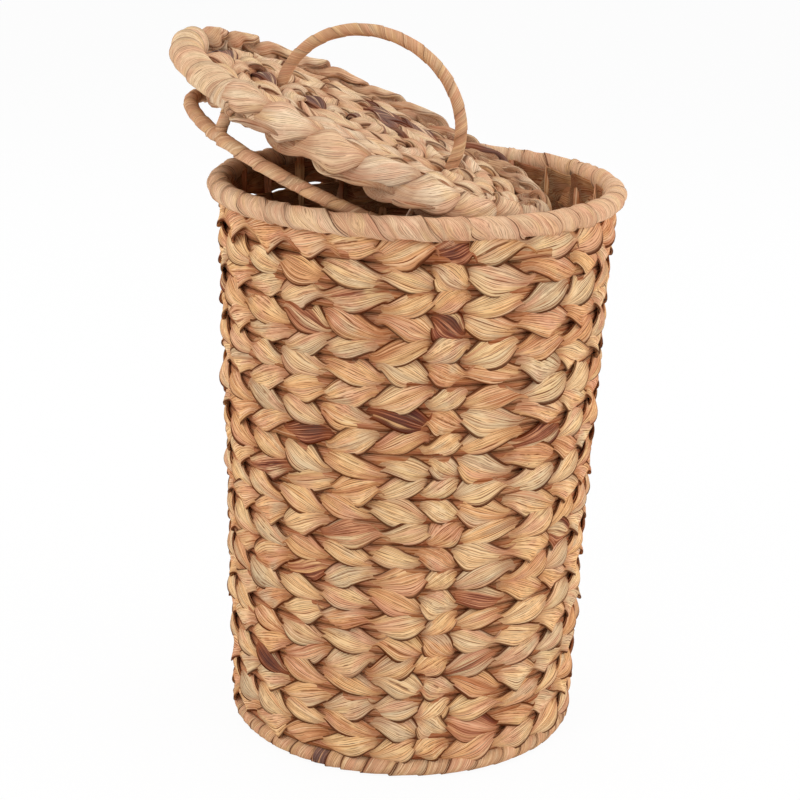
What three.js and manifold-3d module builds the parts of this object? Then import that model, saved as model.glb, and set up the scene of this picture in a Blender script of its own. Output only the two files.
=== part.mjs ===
// A round lidded waste basket, twined from flattened plant stalks on a wire frame. The lid is loose:
// it lies askew in the mouth, one end dipped inside and the other raised over the rim.
// Millimetres, +Z up. The origin is on the basket's axis, on the surface it stands on.

import * as THREE from 'three';
import { mergeVertices } from 'three/addons/utils/BufferGeometryUtils.js';
import Module from 'manifold-3d';

const wasm = await Module();
wasm.setup();

// Basket
const BASKET_HEIGHT = 345;
const RIM_OUTER_DIAMETER = 250;
const RIM_OVERHANG = 7;
const RIM_HOOP_DIAMETER = 9.6;
const WALL_BOTTOM_DIAMETER = 215;
const WALL_COURSES = 23;
const STAKES = 24;
const STAKE_DIAMETER = 3;
const TIE_WIRE_DIAMETER = 2;
const STRAND_THICKNESS = 4;
const FOOT_HOOP_DIAMETER = 7.6;

// Woven base
const BASE_SPOKES = 12;
const BASE_SPOKE_DIAMETER = 3;
const BASE_STRAND_THICKNESS = 3.4;
const BASE_COURSES = 5;
const BASE_CENTRE_DIAMETER = 40;

// Lid
const LID_BORDER_WIDTH = 21;
const LID_BORDER_THICKNESS = 20;
const LID_LONG_SPOKES = 12;
const LID_WIRE_DIAMETER = 3;
const LID_STRAND_THICKNESS = 4;
const LID_INNER_COURSES = 3;
const LID_OUTER_COURSES = 3;
const LID_CENTRE_DIAMETER = 28;
const LID_CENTRE_HEIGHT = 6;
const LID_TILT = THREE.MathUtils.degToRad(23.7);
const LID_SHIFT = -33;

// Locating ring under the lid
const DROP_HOOP_DIAMETER = 4.4;
const DROP_DEPTH = 27;
const DROP_PLAY = 2.5;
const STRUTS = 5;
const STRUT_FIRST_ANGLE = THREE.MathUtils.degToRad(-139);

// Handle
const HANDLE_SPAN = 115;
const HANDLE_RISE = 50;
const HANDLE_WIRE_DIAMETER = 4.6;
const HANDLE_TURN = THREE.MathUtils.degToRad(-15);

// Wrapping strips
const WRAP_THICKNESS = 1.5;
const WRAP_CLEARANCE = 0.5;
const WRAP_SEAM = 0.8;
const RING_WRAP_LOOPS = 24;
const HANDLE_WRAP_LOOPS = 14;

// Fits
const CLEARANCE = 0.3;
const COURSE_GAP = 0.4;

// Facets
const HOOP_SEGMENTS = 48;
const ARCH_SEGMENTS = 20;
const WIRE_SIDES = 5;
const RIM_WRAP_STEPS = 8;
const WRAP_STEPS = 6;

const FULL_TURN = 2 * Math.PI;

const STRAW = new THREE.MeshStandardMaterial({ color: '#d2a878', roughness: 0.75, metalness: 0 });
const PALE_STRAW = new THREE.MeshStandardMaterial({ color: '#d8b387', roughness: 0.7, metalness: 0 });
const DARK_STRAW = new THREE.MeshStandardMaterial({ color: '#b98a5c', roughness: 0.75, metalness: 0 });
const WIRE = new THREE.MeshStandardMaterial({ color: '#5b4030', roughness: 0.5, metalness: 0.6 });

const basket = new THREE.Group();
const lid = new THREE.Group();

function addMesh(group, name, geometry, material) {
  const mesh = new THREE.Mesh(geometry, material.clone());
  mesh.name = name;
  group.add(mesh);
}

function polar(radius, angle, z) {
  return new THREE.Vector3(radius * Math.cos(angle), radius * Math.sin(angle), z);
}

// Six times the signed volume of an indexed surface; negative where its faces point inwards.
function signedVolume(points, faces) {
  return faces.reduce((sum, [a, b, c]) => {
    const normal = new THREE.Vector3().crossVectors(points[b], points[c]);
    return sum + points[a].dot(normal);
  }, 0);
}

// Skins a row of equal sections into a closed surface: a loop joins its last section to its first,
// any other row gets a flat cap at both ends.
function loft(sections, isLoop) {
  const sides = sections[0].length;
  const points = sections.flat();
  const faces = [];
  const spans = isLoop ? sections.length : sections.length - 1;
  for (let i = 0; i < spans; i++) {
    const here = i * sides;
    const next = ((i + 1) % sections.length) * sides;
    for (let j = 0; j < sides; j++) {
      const k = (j + 1) % sides;
      faces.push([here + j, next + j, next + k]);
      faces.push([here + j, next + k, here + k]);
    }
  }
  if (!isLoop) {
    const last = (sections.length - 1) * sides;
    for (let j = 1; j < sides - 1; j++) {
      faces.push([0, j, j + 1]);
      faces.push([last, last + j + 1, last + j]);
    }
  }
  const isInsideOut = signedVolume(points, faces) < 0;
  const ordered = isInsideOut ? faces.map(([a, b, c]) => [a, c, b]) : faces;
  const geometry = new THREE.BufferGeometry().setFromPoints(points);
  geometry.setIndex(ordered.flat());
  geometry.computeVertexNormals();
  return geometry;
}

// An upright disc with flat sides, its first corner at the given angle.
function disc(radius, sides, firstAngle, low, high) {
  const outline = (z) => Array.from({ length: sides }, (_, i) => (
    polar(radius, firstAngle + (i * FULL_TURN) / sides, z)
  ));
  return loft([outline(low), outline(high)], false);
}

// A round wire between two points.
function wire(start, end, diameter) {
  const run = new THREE.Vector3().subVectors(end, start);
  const geometry = new THREE.CylinderGeometry(diameter / 2, diameter / 2, run.length(), WIRE_SIDES);
  const turn = new THREE.Quaternion().setFromUnitVectors(
    new THREE.Vector3(0, 1, 0),
    run.clone().normalize(),
  );
  const middle = new THREE.Vector3().addVectors(start, end).multiplyScalar(0.5);
  return geometry.applyQuaternion(turn).translate(middle.x, middle.y, middle.z);
}

// A level hoop of round wire or cane, its first corner at the given angle.
function hoop(centreRadius, diameter, z, segments, firstAngle = 0) {
  const geometry = new THREE.TorusGeometry(centreRadius, diameter / 2, WIRE_SIDES, segments);
  return geometry.rotateZ(firstAngle).translate(0, 0, z);
}

// Joins closed geometries into one solid body.
function union(geometries) {
  const solids = geometries.map((geometry) => {
    const bare = geometry.clone();
    bare.deleteAttribute('normal');
    bare.deleteAttribute('uv');
    const merged = mergeVertices(bare);
    return new wasm.Manifold(new wasm.Mesh({
      numProp: 3,
      vertProperties: new Float32Array(merged.attributes.position.array),
      triVerts: new Uint32Array(merged.index.array),
    }));
  });
  const mesh = solids.reduce((whole, piece) => whole.add(piece)).getMesh();
  const geometry = new THREE.BufferGeometry();
  geometry.setAttribute('position', new THREE.BufferAttribute(mesh.vertProperties, 3));
  geometry.setIndex(new THREE.BufferAttribute(mesh.triVerts, 1));
  geometry.computeVertexNormals();
  return geometry;
}

// Distance from a wire's centre to the middle of a strand that bends round it. The strand leaves the
// wire at a slant, so the clearance is kept square to the slanted face.
function weaveOffset(strandThickness, wireDiameter, slantAt) {
  const reach = wireDiameter / 2 + CLEARANCE;
  const passes = 12;
  let offset = strandThickness / 2 + reach;
  for (let pass = 0; pass < passes; pass++) {
    offset = strandThickness / 2 + reach / Math.cos(slantAt(offset));
  }
  return offset;
}

// How far a flat weave's strand swings to either side of its spokes, at a course's inner edge.
function flatOffset(innerRadius, spokes, strandThickness, wireDiameter) {
  const run = 2 * innerRadius * Math.sin(Math.PI / spokes);
  return weaveOffset(strandThickness, wireDiameter, (offset) => Math.atan2(2 * offset, run));
}

// One course of a flat weave: a band between two radii that passes over one spoke and under the next.
function flatCourse({ inner, outer, spokes, firstAngle, z, thickness, wireDiameter, startsOver }) {
  const offset = flatOffset(inner, spokes, thickness, wireDiameter);
  const sections = [];
  for (let i = 0; i < spokes; i++) {
    const angle = firstAngle + (i * FULL_TURN) / spokes;
    const isOver = (i % 2 === 0) === startsOver;
    const middle = z + (isOver ? offset : -offset);
    sections.push([
      polar(inner, angle, middle - thickness / 2),
      polar(outer, angle, middle - thickness / 2),
      polar(outer, angle, middle + thickness / 2),
      polar(inner, angle, middle + thickness / 2),
    ]);
  }
  return loft(sections, true);
}

// A wound roll's size over its flats, and its reach at the corners of the wound facets.
function rollDiameter(coreDiameter) {
  return coreDiameter + 2 * (WRAP_CLEARANCE + WRAP_THICKNESS);
}
function rollReach(coreDiameter, steps) {
  return rollDiameter(coreDiameter) / 2 / Math.cos(Math.PI / steps);
}

// Least distance between points of a winding that lie most of a loop or more apart along it.
function leastGap(sections, steps) {
  let least = Infinity;
  sections.forEach((section, i) => {
    sections.slice(i + steps - 1).forEach((other) => {
      section.forEach((a) => other.forEach((b) => {
        least = Math.min(least, a.distanceTo(b));
      }));
    });
  });
  return least;
}

// A flat strip wound round a path as one unbroken band. frameAt gives the path's point and the two
// directions square to it at a distance along the path. The band advances one pitch each loop, and
// its facets lie so that it is flat underneath.
function winding({ label, frameAt, length, loops, steps, coreDiameter, seam }) {
  const outer = rollReach(coreDiameter, steps);
  const inner = outer - WRAP_THICKNESS / Math.cos(Math.PI / steps);
  const pitch = (length - seam) / (loops + 1);
  const halfWidth = (pitch - seam) / 2;
  const sections = [];
  for (let i = 0; i <= loops * steps; i++) {
    const turn = (i + 0.5) * (FULL_TURN / steps) - FULL_TURN / 4;
    const centre = seam / 2 + halfWidth + (i / steps) * pitch;
    const place = (across, radius) => {
      const { point, out, up } = frameAt(centre + across);
      return point.clone()
        .addScaledVector(out, radius * Math.cos(turn))
        .addScaledVector(up, radius * Math.sin(turn));
    };
    sections.push([
      place(-halfWidth, inner),
      place(0, inner),
      place(halfWidth, inner),
      place(halfWidth, outer),
      place(0, outer),
      place(-halfWidth, outer),
    ]);
  }
  console.log(`${label}: ${loops} loops, least gap to itself ${leastGap(sections, steps).toFixed(2)} mm`);
  return loft(sections, false);
}

// The winding of a level hoop, begun and ended at the back.
function ringWrap(label, radius, z, steps, coreDiameter) {
  const frameAt = (distance) => {
    const angle = Math.PI / 2 + distance / radius;
    return {
      point: polar(radius, angle, z),
      out: polar(1, angle, 0),
      up: new THREE.Vector3(0, 0, 1),
    };
  };
  const innerSide = radius - rollReach(coreDiameter, steps);
  const seam = WRAP_SEAM * (radius / innerSide);
  const length = FULL_TURN * radius;
  return winding({ label, frameAt, length, loops: RING_WRAP_LOOPS, steps, coreDiameter, seam });
}

// Rim: a stiff hoop wound with a strip
const rimRoll = rollDiameter(RIM_HOOP_DIAMETER);
const rimReach = rollReach(RIM_HOOP_DIAMETER, RIM_WRAP_STEPS);
const rimRadius = (RIM_OUTER_DIAMETER - rimRoll) / 2;
const rimZ = BASKET_HEIGHT - rimRoll / 2;
const rimWrap = ringWrap('rim_wrap', rimRadius, rimZ, RIM_WRAP_STEPS, RIM_HOOP_DIAMETER);
addMesh(basket, 'rim_hoop', hoop(rimRadius, RIM_HOOP_DIAMETER, rimZ, HOOP_SEGMENTS), DARK_STRAW);
addMesh(basket, 'rim_wrap', rimWrap, PALE_STRAW);

// Foot: a wound hoop that the basket stands on, flush with the wall
const footRoll = rollDiameter(FOOT_HOOP_DIAMETER);
const footRadius = (WALL_BOTTOM_DIAMETER - footRoll) / 2;
const footZ = footRoll / 2;
const footWrap = ringWrap('foot_wrap', footRadius, footZ, WRAP_STEPS, FOOT_HOOP_DIAMETER);
addMesh(basket, 'foot_hoop', hoop(footRadius, FOOT_HOOP_DIAMETER, footZ, HOOP_SEGMENTS), DARK_STRAW);
addMesh(basket, 'foot_wrap', footWrap, PALE_STRAW);

// Wall: courses that pass outside one stake and inside the next, each a stake on from the last
const stakeStep = FULL_TURN / STAKES;
const wallBottomRadius = WALL_BOTTOM_DIAMETER / 2;
const wallTopRadius = RIM_OUTER_DIAMETER / 2 - RIM_OVERHANG;

const wallOffset = weaveOffset(STRAND_THICKNESS, STAKE_DIAMETER, (offset) => {
  const stakeRadius = wallBottomRadius - offset - STRAND_THICKNESS / 2;
  const run = (stakeRadius - offset) * Math.sin(stakeStep);
  const fall = stakeRadius + offset - (stakeRadius - offset) * Math.cos(stakeStep);
  return Math.atan2(fall, run);
});
const halfWall = wallOffset + STRAND_THICKNESS / 2;

// The stakes are tied by a welded wire that nestles under the rim, and the wall ends below it
const tieRadius = wallTopRadius - halfWall;
const tieReach = rimReach + TIE_WIRE_DIAMETER / 2 + CLEARANCE;
const tieDrop = Math.sqrt(Math.max(0, tieReach ** 2 - (rimRadius - tieRadius) ** 2));
const tieZ = rimZ - tieDrop;
const wallBottom = footRoll + CLEARANCE;
const wallTop = Math.min(BASKET_HEIGHT - rimRoll, tieZ - TIE_WIRE_DIAMETER / 2) - CLEARANCE;
const coursePitch = (wallTop - wallBottom) / WALL_COURSES;

function stakeRadiusAt(z) {
  const share = (z - wallBottom) / (wallTop - wallBottom);
  return THREE.MathUtils.lerp(wallBottomRadius, wallTopRadius, share) - halfWall;
}

function wallCourse(index) {
  const low = wallBottom + index * coursePitch + COURSE_GAP / 2;
  const high = low + coursePitch - COURSE_GAP;
  const sections = [];
  for (let i = 0; i < STAKES; i++) {
    const isOutside = (i + index) % 2 === 0;
    const middle = isOutside ? wallOffset : -wallOffset;
    const near = middle - STRAND_THICKNESS / 2;
    const far = middle + STRAND_THICKNESS / 2;
    sections.push([
      polar(stakeRadiusAt(low) + near, i * stakeStep, low),
      polar(stakeRadiusAt(low) + far, i * stakeStep, low),
      polar(stakeRadiusAt(high) + far, i * stakeStep, high),
      polar(stakeRadiusAt(high) + near, i * stakeStep, high),
    ]);
  }
  return loft(sections, true);
}

for (let i = 0; i < WALL_COURSES; i++) {
  addMesh(basket, `wall_course_${String(i + 1).padStart(2, '0')}`, wallCourse(i), STRAW);
}

// Stakes stand on the foot and run up to the tie wire
const stakeWires = [hoop(tieRadius, TIE_WIRE_DIAMETER, tieZ, STAKES)];
for (let i = 0; i < STAKES; i++) {
  const bottom = polar(stakeRadiusAt(wallBottom), i * stakeStep, wallBottom);
  const top = polar(stakeRadiusAt(tieZ), i * stakeStep, tieZ);
  stakeWires.push(wire(bottom, top, STAKE_DIAMETER));
}
addMesh(basket, 'stake_frame', union(stakeWires), WIRE);

// Base: courses woven over and under wire spokes inside the foot, down to the standing surface
const baseOuter = footRadius - rollReach(FOOT_HOOP_DIAMETER, WRAP_STEPS) - CLEARANCE;
const baseInner = BASE_CENTRE_DIAMETER / 2;
const baseSwing = flatOffset(baseInner, BASE_SPOKES, BASE_STRAND_THICKNESS, BASE_SPOKE_DIAMETER);
const baseZ = baseSwing + BASE_STRAND_THICKNESS / 2;
const baseCourseWidth = (baseOuter - baseInner) / BASE_COURSES;

const spokeWires = [];
for (let i = 0; i < BASE_SPOKES; i++) {
  const tip = polar(baseOuter, (i * FULL_TURN) / BASE_SPOKES, baseZ);
  spokeWires.push(wire(polar(0, 0, baseZ), tip, BASE_SPOKE_DIAMETER));
}
addMesh(basket, 'base_spokes', union(spokeWires), WIRE);

for (let i = 0; i < BASE_COURSES; i++) {
  const course = flatCourse({
    inner: baseInner + i * baseCourseWidth + COURSE_GAP,
    outer: baseInner + (i + 1) * baseCourseWidth,
    spokes: BASE_SPOKES,
    firstAngle: 0,
    z: baseZ,
    thickness: BASE_STRAND_THICKNESS,
    wireDiameter: BASE_SPOKE_DIAMETER,
    startsOver: i % 2 === 0,
  });
  addMesh(basket, `base_course_${i + 1}`, course, STRAW);
}

const baseCentreTop = baseZ - BASE_SPOKE_DIAMETER / 2 - CLEARANCE;
addMesh(basket, 'base_centre', disc(baseInner, BASE_SPOKES, 0, 0, baseCentreTop), STRAW);

// Lid, in its own frame: its middle plane is level, its centre is the origin, and +X points down
// the slope that the lid lies on. It is as wide as the rim.
const lidRadius = RIM_OUTER_DIAMETER / 2;
const borderInner = lidRadius - LID_BORDER_WIDTH;
const halfBorder = LID_BORDER_THICKNESS / 2;
const borderRound = LID_BORDER_WIDTH / 3;

// Border: a thick plait with rounded corners
const borderProfile = [
  [borderInner, -halfBorder / 2],
  [borderInner + borderRound, -halfBorder],
  [lidRadius - borderRound, -halfBorder],
  [lidRadius, -halfBorder / 2],
  [lidRadius, halfBorder / 2],
  [lidRadius - borderRound, halfBorder],
  [borderInner + borderRound, halfBorder],
  [borderInner, halfBorder / 2],
];
function borderSection(angle) {
  return borderProfile.map(([radius, z]) => polar(radius, angle, z));
}
const borderSections = [];
for (let i = 0; i < HOOP_SEGMENTS; i++) {
  borderSections.push(borderSection((i * FULL_TURN) / HOOP_SEGMENTS));
}
addMesh(lid, 'lid_border', loft(borderSections, true), STRAW);

// Lid frame: a wire hoop just inside the border, long spokes to the centre and short ones between.
// The weave leaves a slot for the handle's wire between an inner and an outer band.
const lidHoopRadius = borderInner - CLEARANCE - COURSE_GAP - LID_WIRE_DIAMETER / 2;
const lidWeaveOuter = lidHoopRadius - LID_WIRE_DIAMETER / 2 - CLEARANCE;
const lidWeaveInner = LID_CENTRE_DIAMETER / 2;
const handleRadius = HANDLE_SPAN / 2;
const halfSlot = HANDLE_WIRE_DIAMETER / 2 + CLEARANCE;
const innerBandOuter = handleRadius - halfSlot;
const outerBandInner = handleRadius + halfSlot;
const longStep = FULL_TURN / LID_LONG_SPOKES;
const lidSpokes = 2 * LID_LONG_SPOKES;

const lidWires = [hoop(lidHoopRadius, LID_WIRE_DIAMETER, 0, lidSpokes, HANDLE_TURN)];
for (let i = 0; i < LID_LONG_SPOKES; i++) {
  const longAngle = HANDLE_TURN + i * longStep;
  const shortAngle = longAngle + longStep / 2;
  const longTip = polar(lidHoopRadius, longAngle, 0);
  const shortTip = polar(lidHoopRadius, shortAngle, 0);
  lidWires.push(wire(polar(0, 0, 0), longTip, LID_WIRE_DIAMETER));
  lidWires.push(wire(polar(outerBandInner, shortAngle, 0), shortTip, LID_WIRE_DIAMETER));
}
addMesh(lid, 'lid_frame', union(lidWires), WIRE);

function lidBand(from, to, courses, spokes, firstNumber) {
  const width = (to - from) / courses;
  for (let i = 0; i < courses; i++) {
    const course = flatCourse({
      inner: from + i * width + COURSE_GAP,
      outer: from + (i + 1) * width,
      spokes,
      firstAngle: HANDLE_TURN,
      z: 0,
      thickness: LID_STRAND_THICKNESS,
      wireDiameter: LID_WIRE_DIAMETER,
      startsOver: i % 2 === 0,
    });
    addMesh(lid, `lid_course_${firstNumber + i}`, course, STRAW);
  }
}
lidBand(lidWeaveInner, innerBandOuter, LID_INNER_COURSES, LID_LONG_SPOKES, 1);
lidBand(outerBandInner, lidWeaveOuter, LID_OUTER_COURSES, lidSpokes, LID_INNER_COURSES + 1);

const lidSwing = flatOffset(lidWeaveInner, LID_LONG_SPOKES, LID_STRAND_THICKNESS, LID_WIRE_DIAMETER);
const lidWeaveTop = lidSwing + LID_STRAND_THICKNESS / 2;
const onSpokes = LID_WIRE_DIAMETER / 2 + CLEARANCE;
const lidCentre = disc(lidWeaveInner, LID_LONG_SPOKES, HANDLE_TURN, onSpokes, onSpokes + LID_CENTRE_HEIGHT);
addMesh(lid, 'lid_centre', lidCentre, STRAW);

// Locating ring: a wound hoop that drops inside the wall, held under the lid by wire struts
const dropRadius = wallTopRadius - 2 * halfWall - DROP_PLAY - rollDiameter(DROP_HOOP_DIAMETER) / 2;
const dropReach = rollReach(DROP_HOOP_DIAMETER, WRAP_STEPS);
const dropWrap = ringWrap('drop_wrap', dropRadius, -DROP_DEPTH, WRAP_STEPS, DROP_HOOP_DIAMETER);
addMesh(lid, 'drop_hoop', hoop(dropRadius, DROP_HOOP_DIAMETER, -DROP_DEPTH, HOOP_SEGMENTS), WIRE);
addMesh(lid, 'drop_wrap', dropWrap, PALE_STRAW);

const strutBottom = -DROP_DEPTH + rollDiameter(DROP_HOOP_DIAMETER) / 2 + CLEARANCE;
for (let i = 0; i < STRUTS; i++) {
  const angle = STRUT_FIRST_ANGLE + (i * FULL_TURN) / STRUTS;
  const top = polar(lidHoopRadius, angle, -onSpokes);
  const bottom = polar(dropRadius, angle, strutBottom);
  addMesh(lid, `drop_strut_${i + 1}`, wire(top, bottom, LID_WIRE_DIAMETER), PALE_STRAW);
}

// Handle: a wire arch that stands on two spokes, wound above the lid's weave
const handle = new THREE.Group();
handle.rotation.z = HANDLE_TURN;
lid.add(handle);

const legTop = lidWeaveTop + CLEARANCE;
const archPoints = [new THREE.Vector3(handleRadius, 0, onSpokes)];
for (let i = 0; i <= ARCH_SEGMENTS; i++) {
  const turn = (i / ARCH_SEGMENTS) * Math.PI;
  const x = handleRadius * Math.cos(turn);
  archPoints.push(new THREE.Vector3(x, 0, legTop + HANDLE_RISE * Math.sin(turn)));
}
archPoints.push(new THREE.Vector3(-handleRadius, 0, onSpokes));

const archDistances = [0];
for (let i = 1; i < archPoints.length; i++) {
  archDistances.push(archDistances[i - 1] + archPoints[i].distanceTo(archPoints[i - 1]));
}
const archLength = archDistances.at(-1);

// The arch's direction at one of its points, along the chord of its neighbours.
function archTangent(index) {
  const before = archPoints[Math.max(0, index - 1)];
  const after = archPoints[Math.min(archPoints.length - 1, index + 1)];
  return new THREE.Vector3().subVectors(after, before).normalize();
}

// The arch's point at a distance along it, and the two directions square to it.
function archFrame(distance) {
  const along = THREE.MathUtils.clamp(distance, 0, archLength);
  const next = Math.max(1, archDistances.findIndex((end) => end >= along));
  const share = (along - archDistances[next - 1]) / (archDistances[next] - archDistances[next - 1]);
  const tangent = archTangent(next - 1).lerp(archTangent(next), share).normalize();
  const up = new THREE.Vector3(0, 1, 0);
  return {
    point: archPoints[next - 1].clone().lerp(archPoints[next], share),
    out: new THREE.Vector3().crossVectors(up, tangent),
    up,
  };
}

const handleSections = archDistances.map((distance) => {
  const { point, out, up } = archFrame(distance);
  return Array.from({ length: WRAP_STEPS }, (_, i) => {
    const turn = (i / WRAP_STEPS) * FULL_TURN;
    return point.clone()
      .addScaledVector(out, (HANDLE_WIRE_DIAMETER / 2) * Math.cos(turn))
      .addScaledVector(up, (HANDLE_WIRE_DIAMETER / 2) * Math.sin(turn));
  });
});
addMesh(handle, 'handle_wire', loft(handleSections, false), WIRE);

const bareLeg = legTop - onSpokes;
const handleWrap = winding({
  label: 'handle_wrap',
  frameAt: (distance) => archFrame(bareLeg + distance),
  length: archLength - 2 * bareLeg,
  loops: HANDLE_WRAP_LOOPS,
  steps: WRAP_STEPS,
  coreDiameter: HANDLE_WIRE_DIAMETER,
  seam: WRAP_SEAM,
});
addMesh(handle, 'handle_wrap', handleWrap, PALE_STRAW);

// The lid's resting place: tilted and shifted as it lies, and let down until its border or its
// locating ring comes to a clearance from the rim
lid.rotation.y = LID_TILT;
lid.position.x = LID_SHIFT;

const probeAngles = 720;
const ringProbes = 12;
const probes = [];
for (let i = 0; i < probeAngles; i++) {
  const angle = (i * FULL_TURN) / probeAngles;
  probes.push(...borderSection(angle));
  for (let j = 0; j < ringProbes; j++) {
    const turn = (j * FULL_TURN) / ringProbes;
    const radius = dropRadius + dropReach * Math.cos(turn);
    probes.push(polar(radius, angle, dropReach * Math.sin(turn) - DROP_DEPTH));
  }
}
probes.forEach((probe) => {
  probe.applyEuler(lid.rotation);
  probe.x += LID_SHIFT;
});

function gapToRim(height) {
  return probes.reduce((least, probe) => {
    const outwards = Math.hypot(probe.x, probe.y) - rimRadius;
    return Math.min(least, Math.hypot(outwards, probe.z + height - rimZ) - rimReach);
  }, Infinity);
}

const searchStep = 1;
let clearHeight = BASKET_HEIGHT + lidRadius;
while (clearHeight > rimZ && gapToRim(clearHeight - searchStep) > CLEARANCE) {
  clearHeight -= searchStep;
}
let blockedHeight = clearHeight - searchStep;
const halvings = 20;
for (let i = 0; i < halvings; i++) {
  const middle = (clearHeight + blockedHeight) / 2;
  if (gapToRim(middle) > CLEARANCE) {
    clearHeight = middle;
  } else {
    blockedHeight = middle;
  }
}
lid.position.z = clearHeight;

const wasteBasket = new THREE.Group();
wasteBasket.add(basket, lid);

export default wasteBasket;
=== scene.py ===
# %% [markdown]
# # A lidded waste basket twined from flat dry stalks
# The real basket is a tall round wall of twisted leaf strands on upright stakes, a rim and a foot bound
# with leaf strip, and a loose twined lid that lies askew in the mouth. The imported solids give the main
# sizes and places, so the lesson starts by loading them, with their places applied to their points, and
# reading the box of each.

# %% Load the frame
import math
import bmesh
import bpy
import numpy as np
from mathutils import Matrix, Vector


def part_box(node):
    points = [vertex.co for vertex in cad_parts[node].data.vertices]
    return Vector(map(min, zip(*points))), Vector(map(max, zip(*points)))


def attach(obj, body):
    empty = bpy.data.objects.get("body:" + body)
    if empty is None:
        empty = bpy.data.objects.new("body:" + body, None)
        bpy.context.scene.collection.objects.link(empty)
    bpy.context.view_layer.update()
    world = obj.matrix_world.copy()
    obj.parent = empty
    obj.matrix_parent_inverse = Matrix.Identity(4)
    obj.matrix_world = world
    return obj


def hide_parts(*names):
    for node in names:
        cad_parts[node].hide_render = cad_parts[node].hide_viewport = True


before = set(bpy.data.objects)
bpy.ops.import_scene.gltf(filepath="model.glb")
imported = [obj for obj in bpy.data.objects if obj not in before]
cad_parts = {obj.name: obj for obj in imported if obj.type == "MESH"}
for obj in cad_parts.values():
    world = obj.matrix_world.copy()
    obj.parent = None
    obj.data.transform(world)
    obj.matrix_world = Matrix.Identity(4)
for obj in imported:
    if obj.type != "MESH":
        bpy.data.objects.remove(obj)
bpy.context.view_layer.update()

# %% [markdown]
# ## Sizes
# Shapes are worked out in millimetres, as a basket maker would measure them, and turned into metres when
# a mesh is made. Whatever a solid already knows is read from its box or its corners: the rim, the foot,
# and the height and reach of each course of the wall.

# %% Read sizes from the solids
MM = 0.001


def span(node):
    """Lowest and highest corner of a solid, in millimetres."""
    low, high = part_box(node)
    return np.array(low) / MM, np.array(high) / MM


def corners(node):
    """Every corner point of a solid, in millimetres."""
    return np.array([v.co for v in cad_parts[node].data.vertices]) / MM


def nodes_called(start):
    """Names of the solids that begin in this way, in order."""
    return sorted(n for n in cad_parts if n.startswith(start))


def ring_size(node):
    """Middle radius, middle height and half thickness of a level ring, from its box."""
    low, high = span(node)
    half = (high[2] - low[2]) / 2
    return high[0] - half, low[2] + half, half


RIM_RADIUS, RIM_Z, RIM_TUBE = ring_size("rim_wrap")
FOOT_RADIUS, FOOT_Z, FOOT_TUBE = ring_size("foot_wrap")
COURSES = nodes_called("wall_course_")
COURSE_Z = np.array([np.mean([span(n)[0][2], span(n)[1][2]]) for n in COURSES])
COURSE_OUTER = np.array([np.linalg.norm(corners(n)[:, :2], axis=1).max() for n in COURSES])
print("rim radius", round(RIM_RADIUS, 1), "height", round(RIM_Z, 1))
print("courses", len(COURSES), "pitch", round(np.diff(COURSE_Z).mean(), 2))

# %% [markdown]
# ## Where the stakes stand
# By hand, stakes are never spaced evenly, and the leaves between them are long or short for it. The ones in
# front stand where the photograph shows them, and the others share the rest of the circle. A row needs the
# angle between two stakes as well, so the strays from even steps are written as a sum of waves.

# %% Stake angles
FULL_TURN = 2 * np.pi
STAKES = 24
# Degrees round the wall: -90 is the middle of the front.
FRONT_STAKES = [-107.0, -91.0, -79.6, -67.6, -49.0]
other_stakes = np.linspace(FRONT_STAKES[-1], FRONT_STAKES[0] + 360, STAKES - len(FRONT_STAKES) + 2)[1:-1]
STAKE_ANGLES = np.radians([*FRONT_STAKES, *other_stakes])
EVEN_ANGLES = STAKE_ANGLES[0] + FULL_TURN * np.arange(STAKES) / STAKES
STRAY_WAVES = np.fft.fft(STAKE_ANGLES - EVEN_ANGLES) / STAKES
STRAY_RATES = np.fft.fftfreq(STAKES)


def wall_angle(x):
    """The angle at x stakes along: even steps plus a sum of waves that passes through every stake."""
    strays = np.exp(2j * np.pi * np.outer(x, STRAY_RATES)) @ STRAY_WAVES
    return EVEN_ANGLES[0] + FULL_TURN * x / STAKES + strays.real


largest_stray = np.degrees(np.abs(STAKE_ANGLES - EVEN_ANGLES).max())
print("stakes", STAKES, "largest stray in degrees", round(float(largest_stray), 1))

# %% [markdown]
# ## From a grid of points to a mesh
# Every strand, strip and stake here is a surface over two parameters: u runs along the stalk and v runs
# round it. A grid of points is computed as one array and skinned into quads. A map called grain carries
# u and v for the fibres, and an attribute called leaf carries four numbers for the finish: the leaf's tint,
# its stain, a seed that tells it from its neighbours, and how deep it lies in the weave. Curves with a bevel
# would make tubes with less work, but a grid lets every point follow a formula.

# %% Vectors, easing and quads


def unit(vectors):
    """Each vector divided by its length."""
    return vectors / np.maximum(np.linalg.norm(vectors, axis=-1, keepdims=True), 1e-9)


def smooth(share):
    """Zero below 0, one above 1, and 3s^2 - 2s^3 between them."""
    s = np.clip(share, 0, 1)
    return s * s * (3 - 2 * s)


def quads(rows, columns, loops, closes, shift, first):
    """Corner numbers of the quads of a grid, with the grid step of each corner.

    The last row joins the first one when loops is true. The last column joins the first one, shift rows on,
    when closes is true, as a helix joins its next loop.
    """
    i, j = np.meshgrid(np.arange(rows - (not loops)), np.arange(columns - (not closes)), indexing="ij")
    ci = np.stack([i, i + 1, i + 1, i], -1).reshape(-1, 4)
    cj = np.stack([j, j, j + 1, j + 1], -1).reshape(-1, 4)
    closing = cj == columns
    vertex = ((ci + shift * closing) % rows) * columns + cj % columns + first
    return vertex, ci, cj


print("a closed grid of 3 by 4 points has", len(quads(3, 4, True, True, 0, 0)[0]), "quads")

# %% Skin grids of points
WELD_DISTANCE = 1e-6


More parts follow.
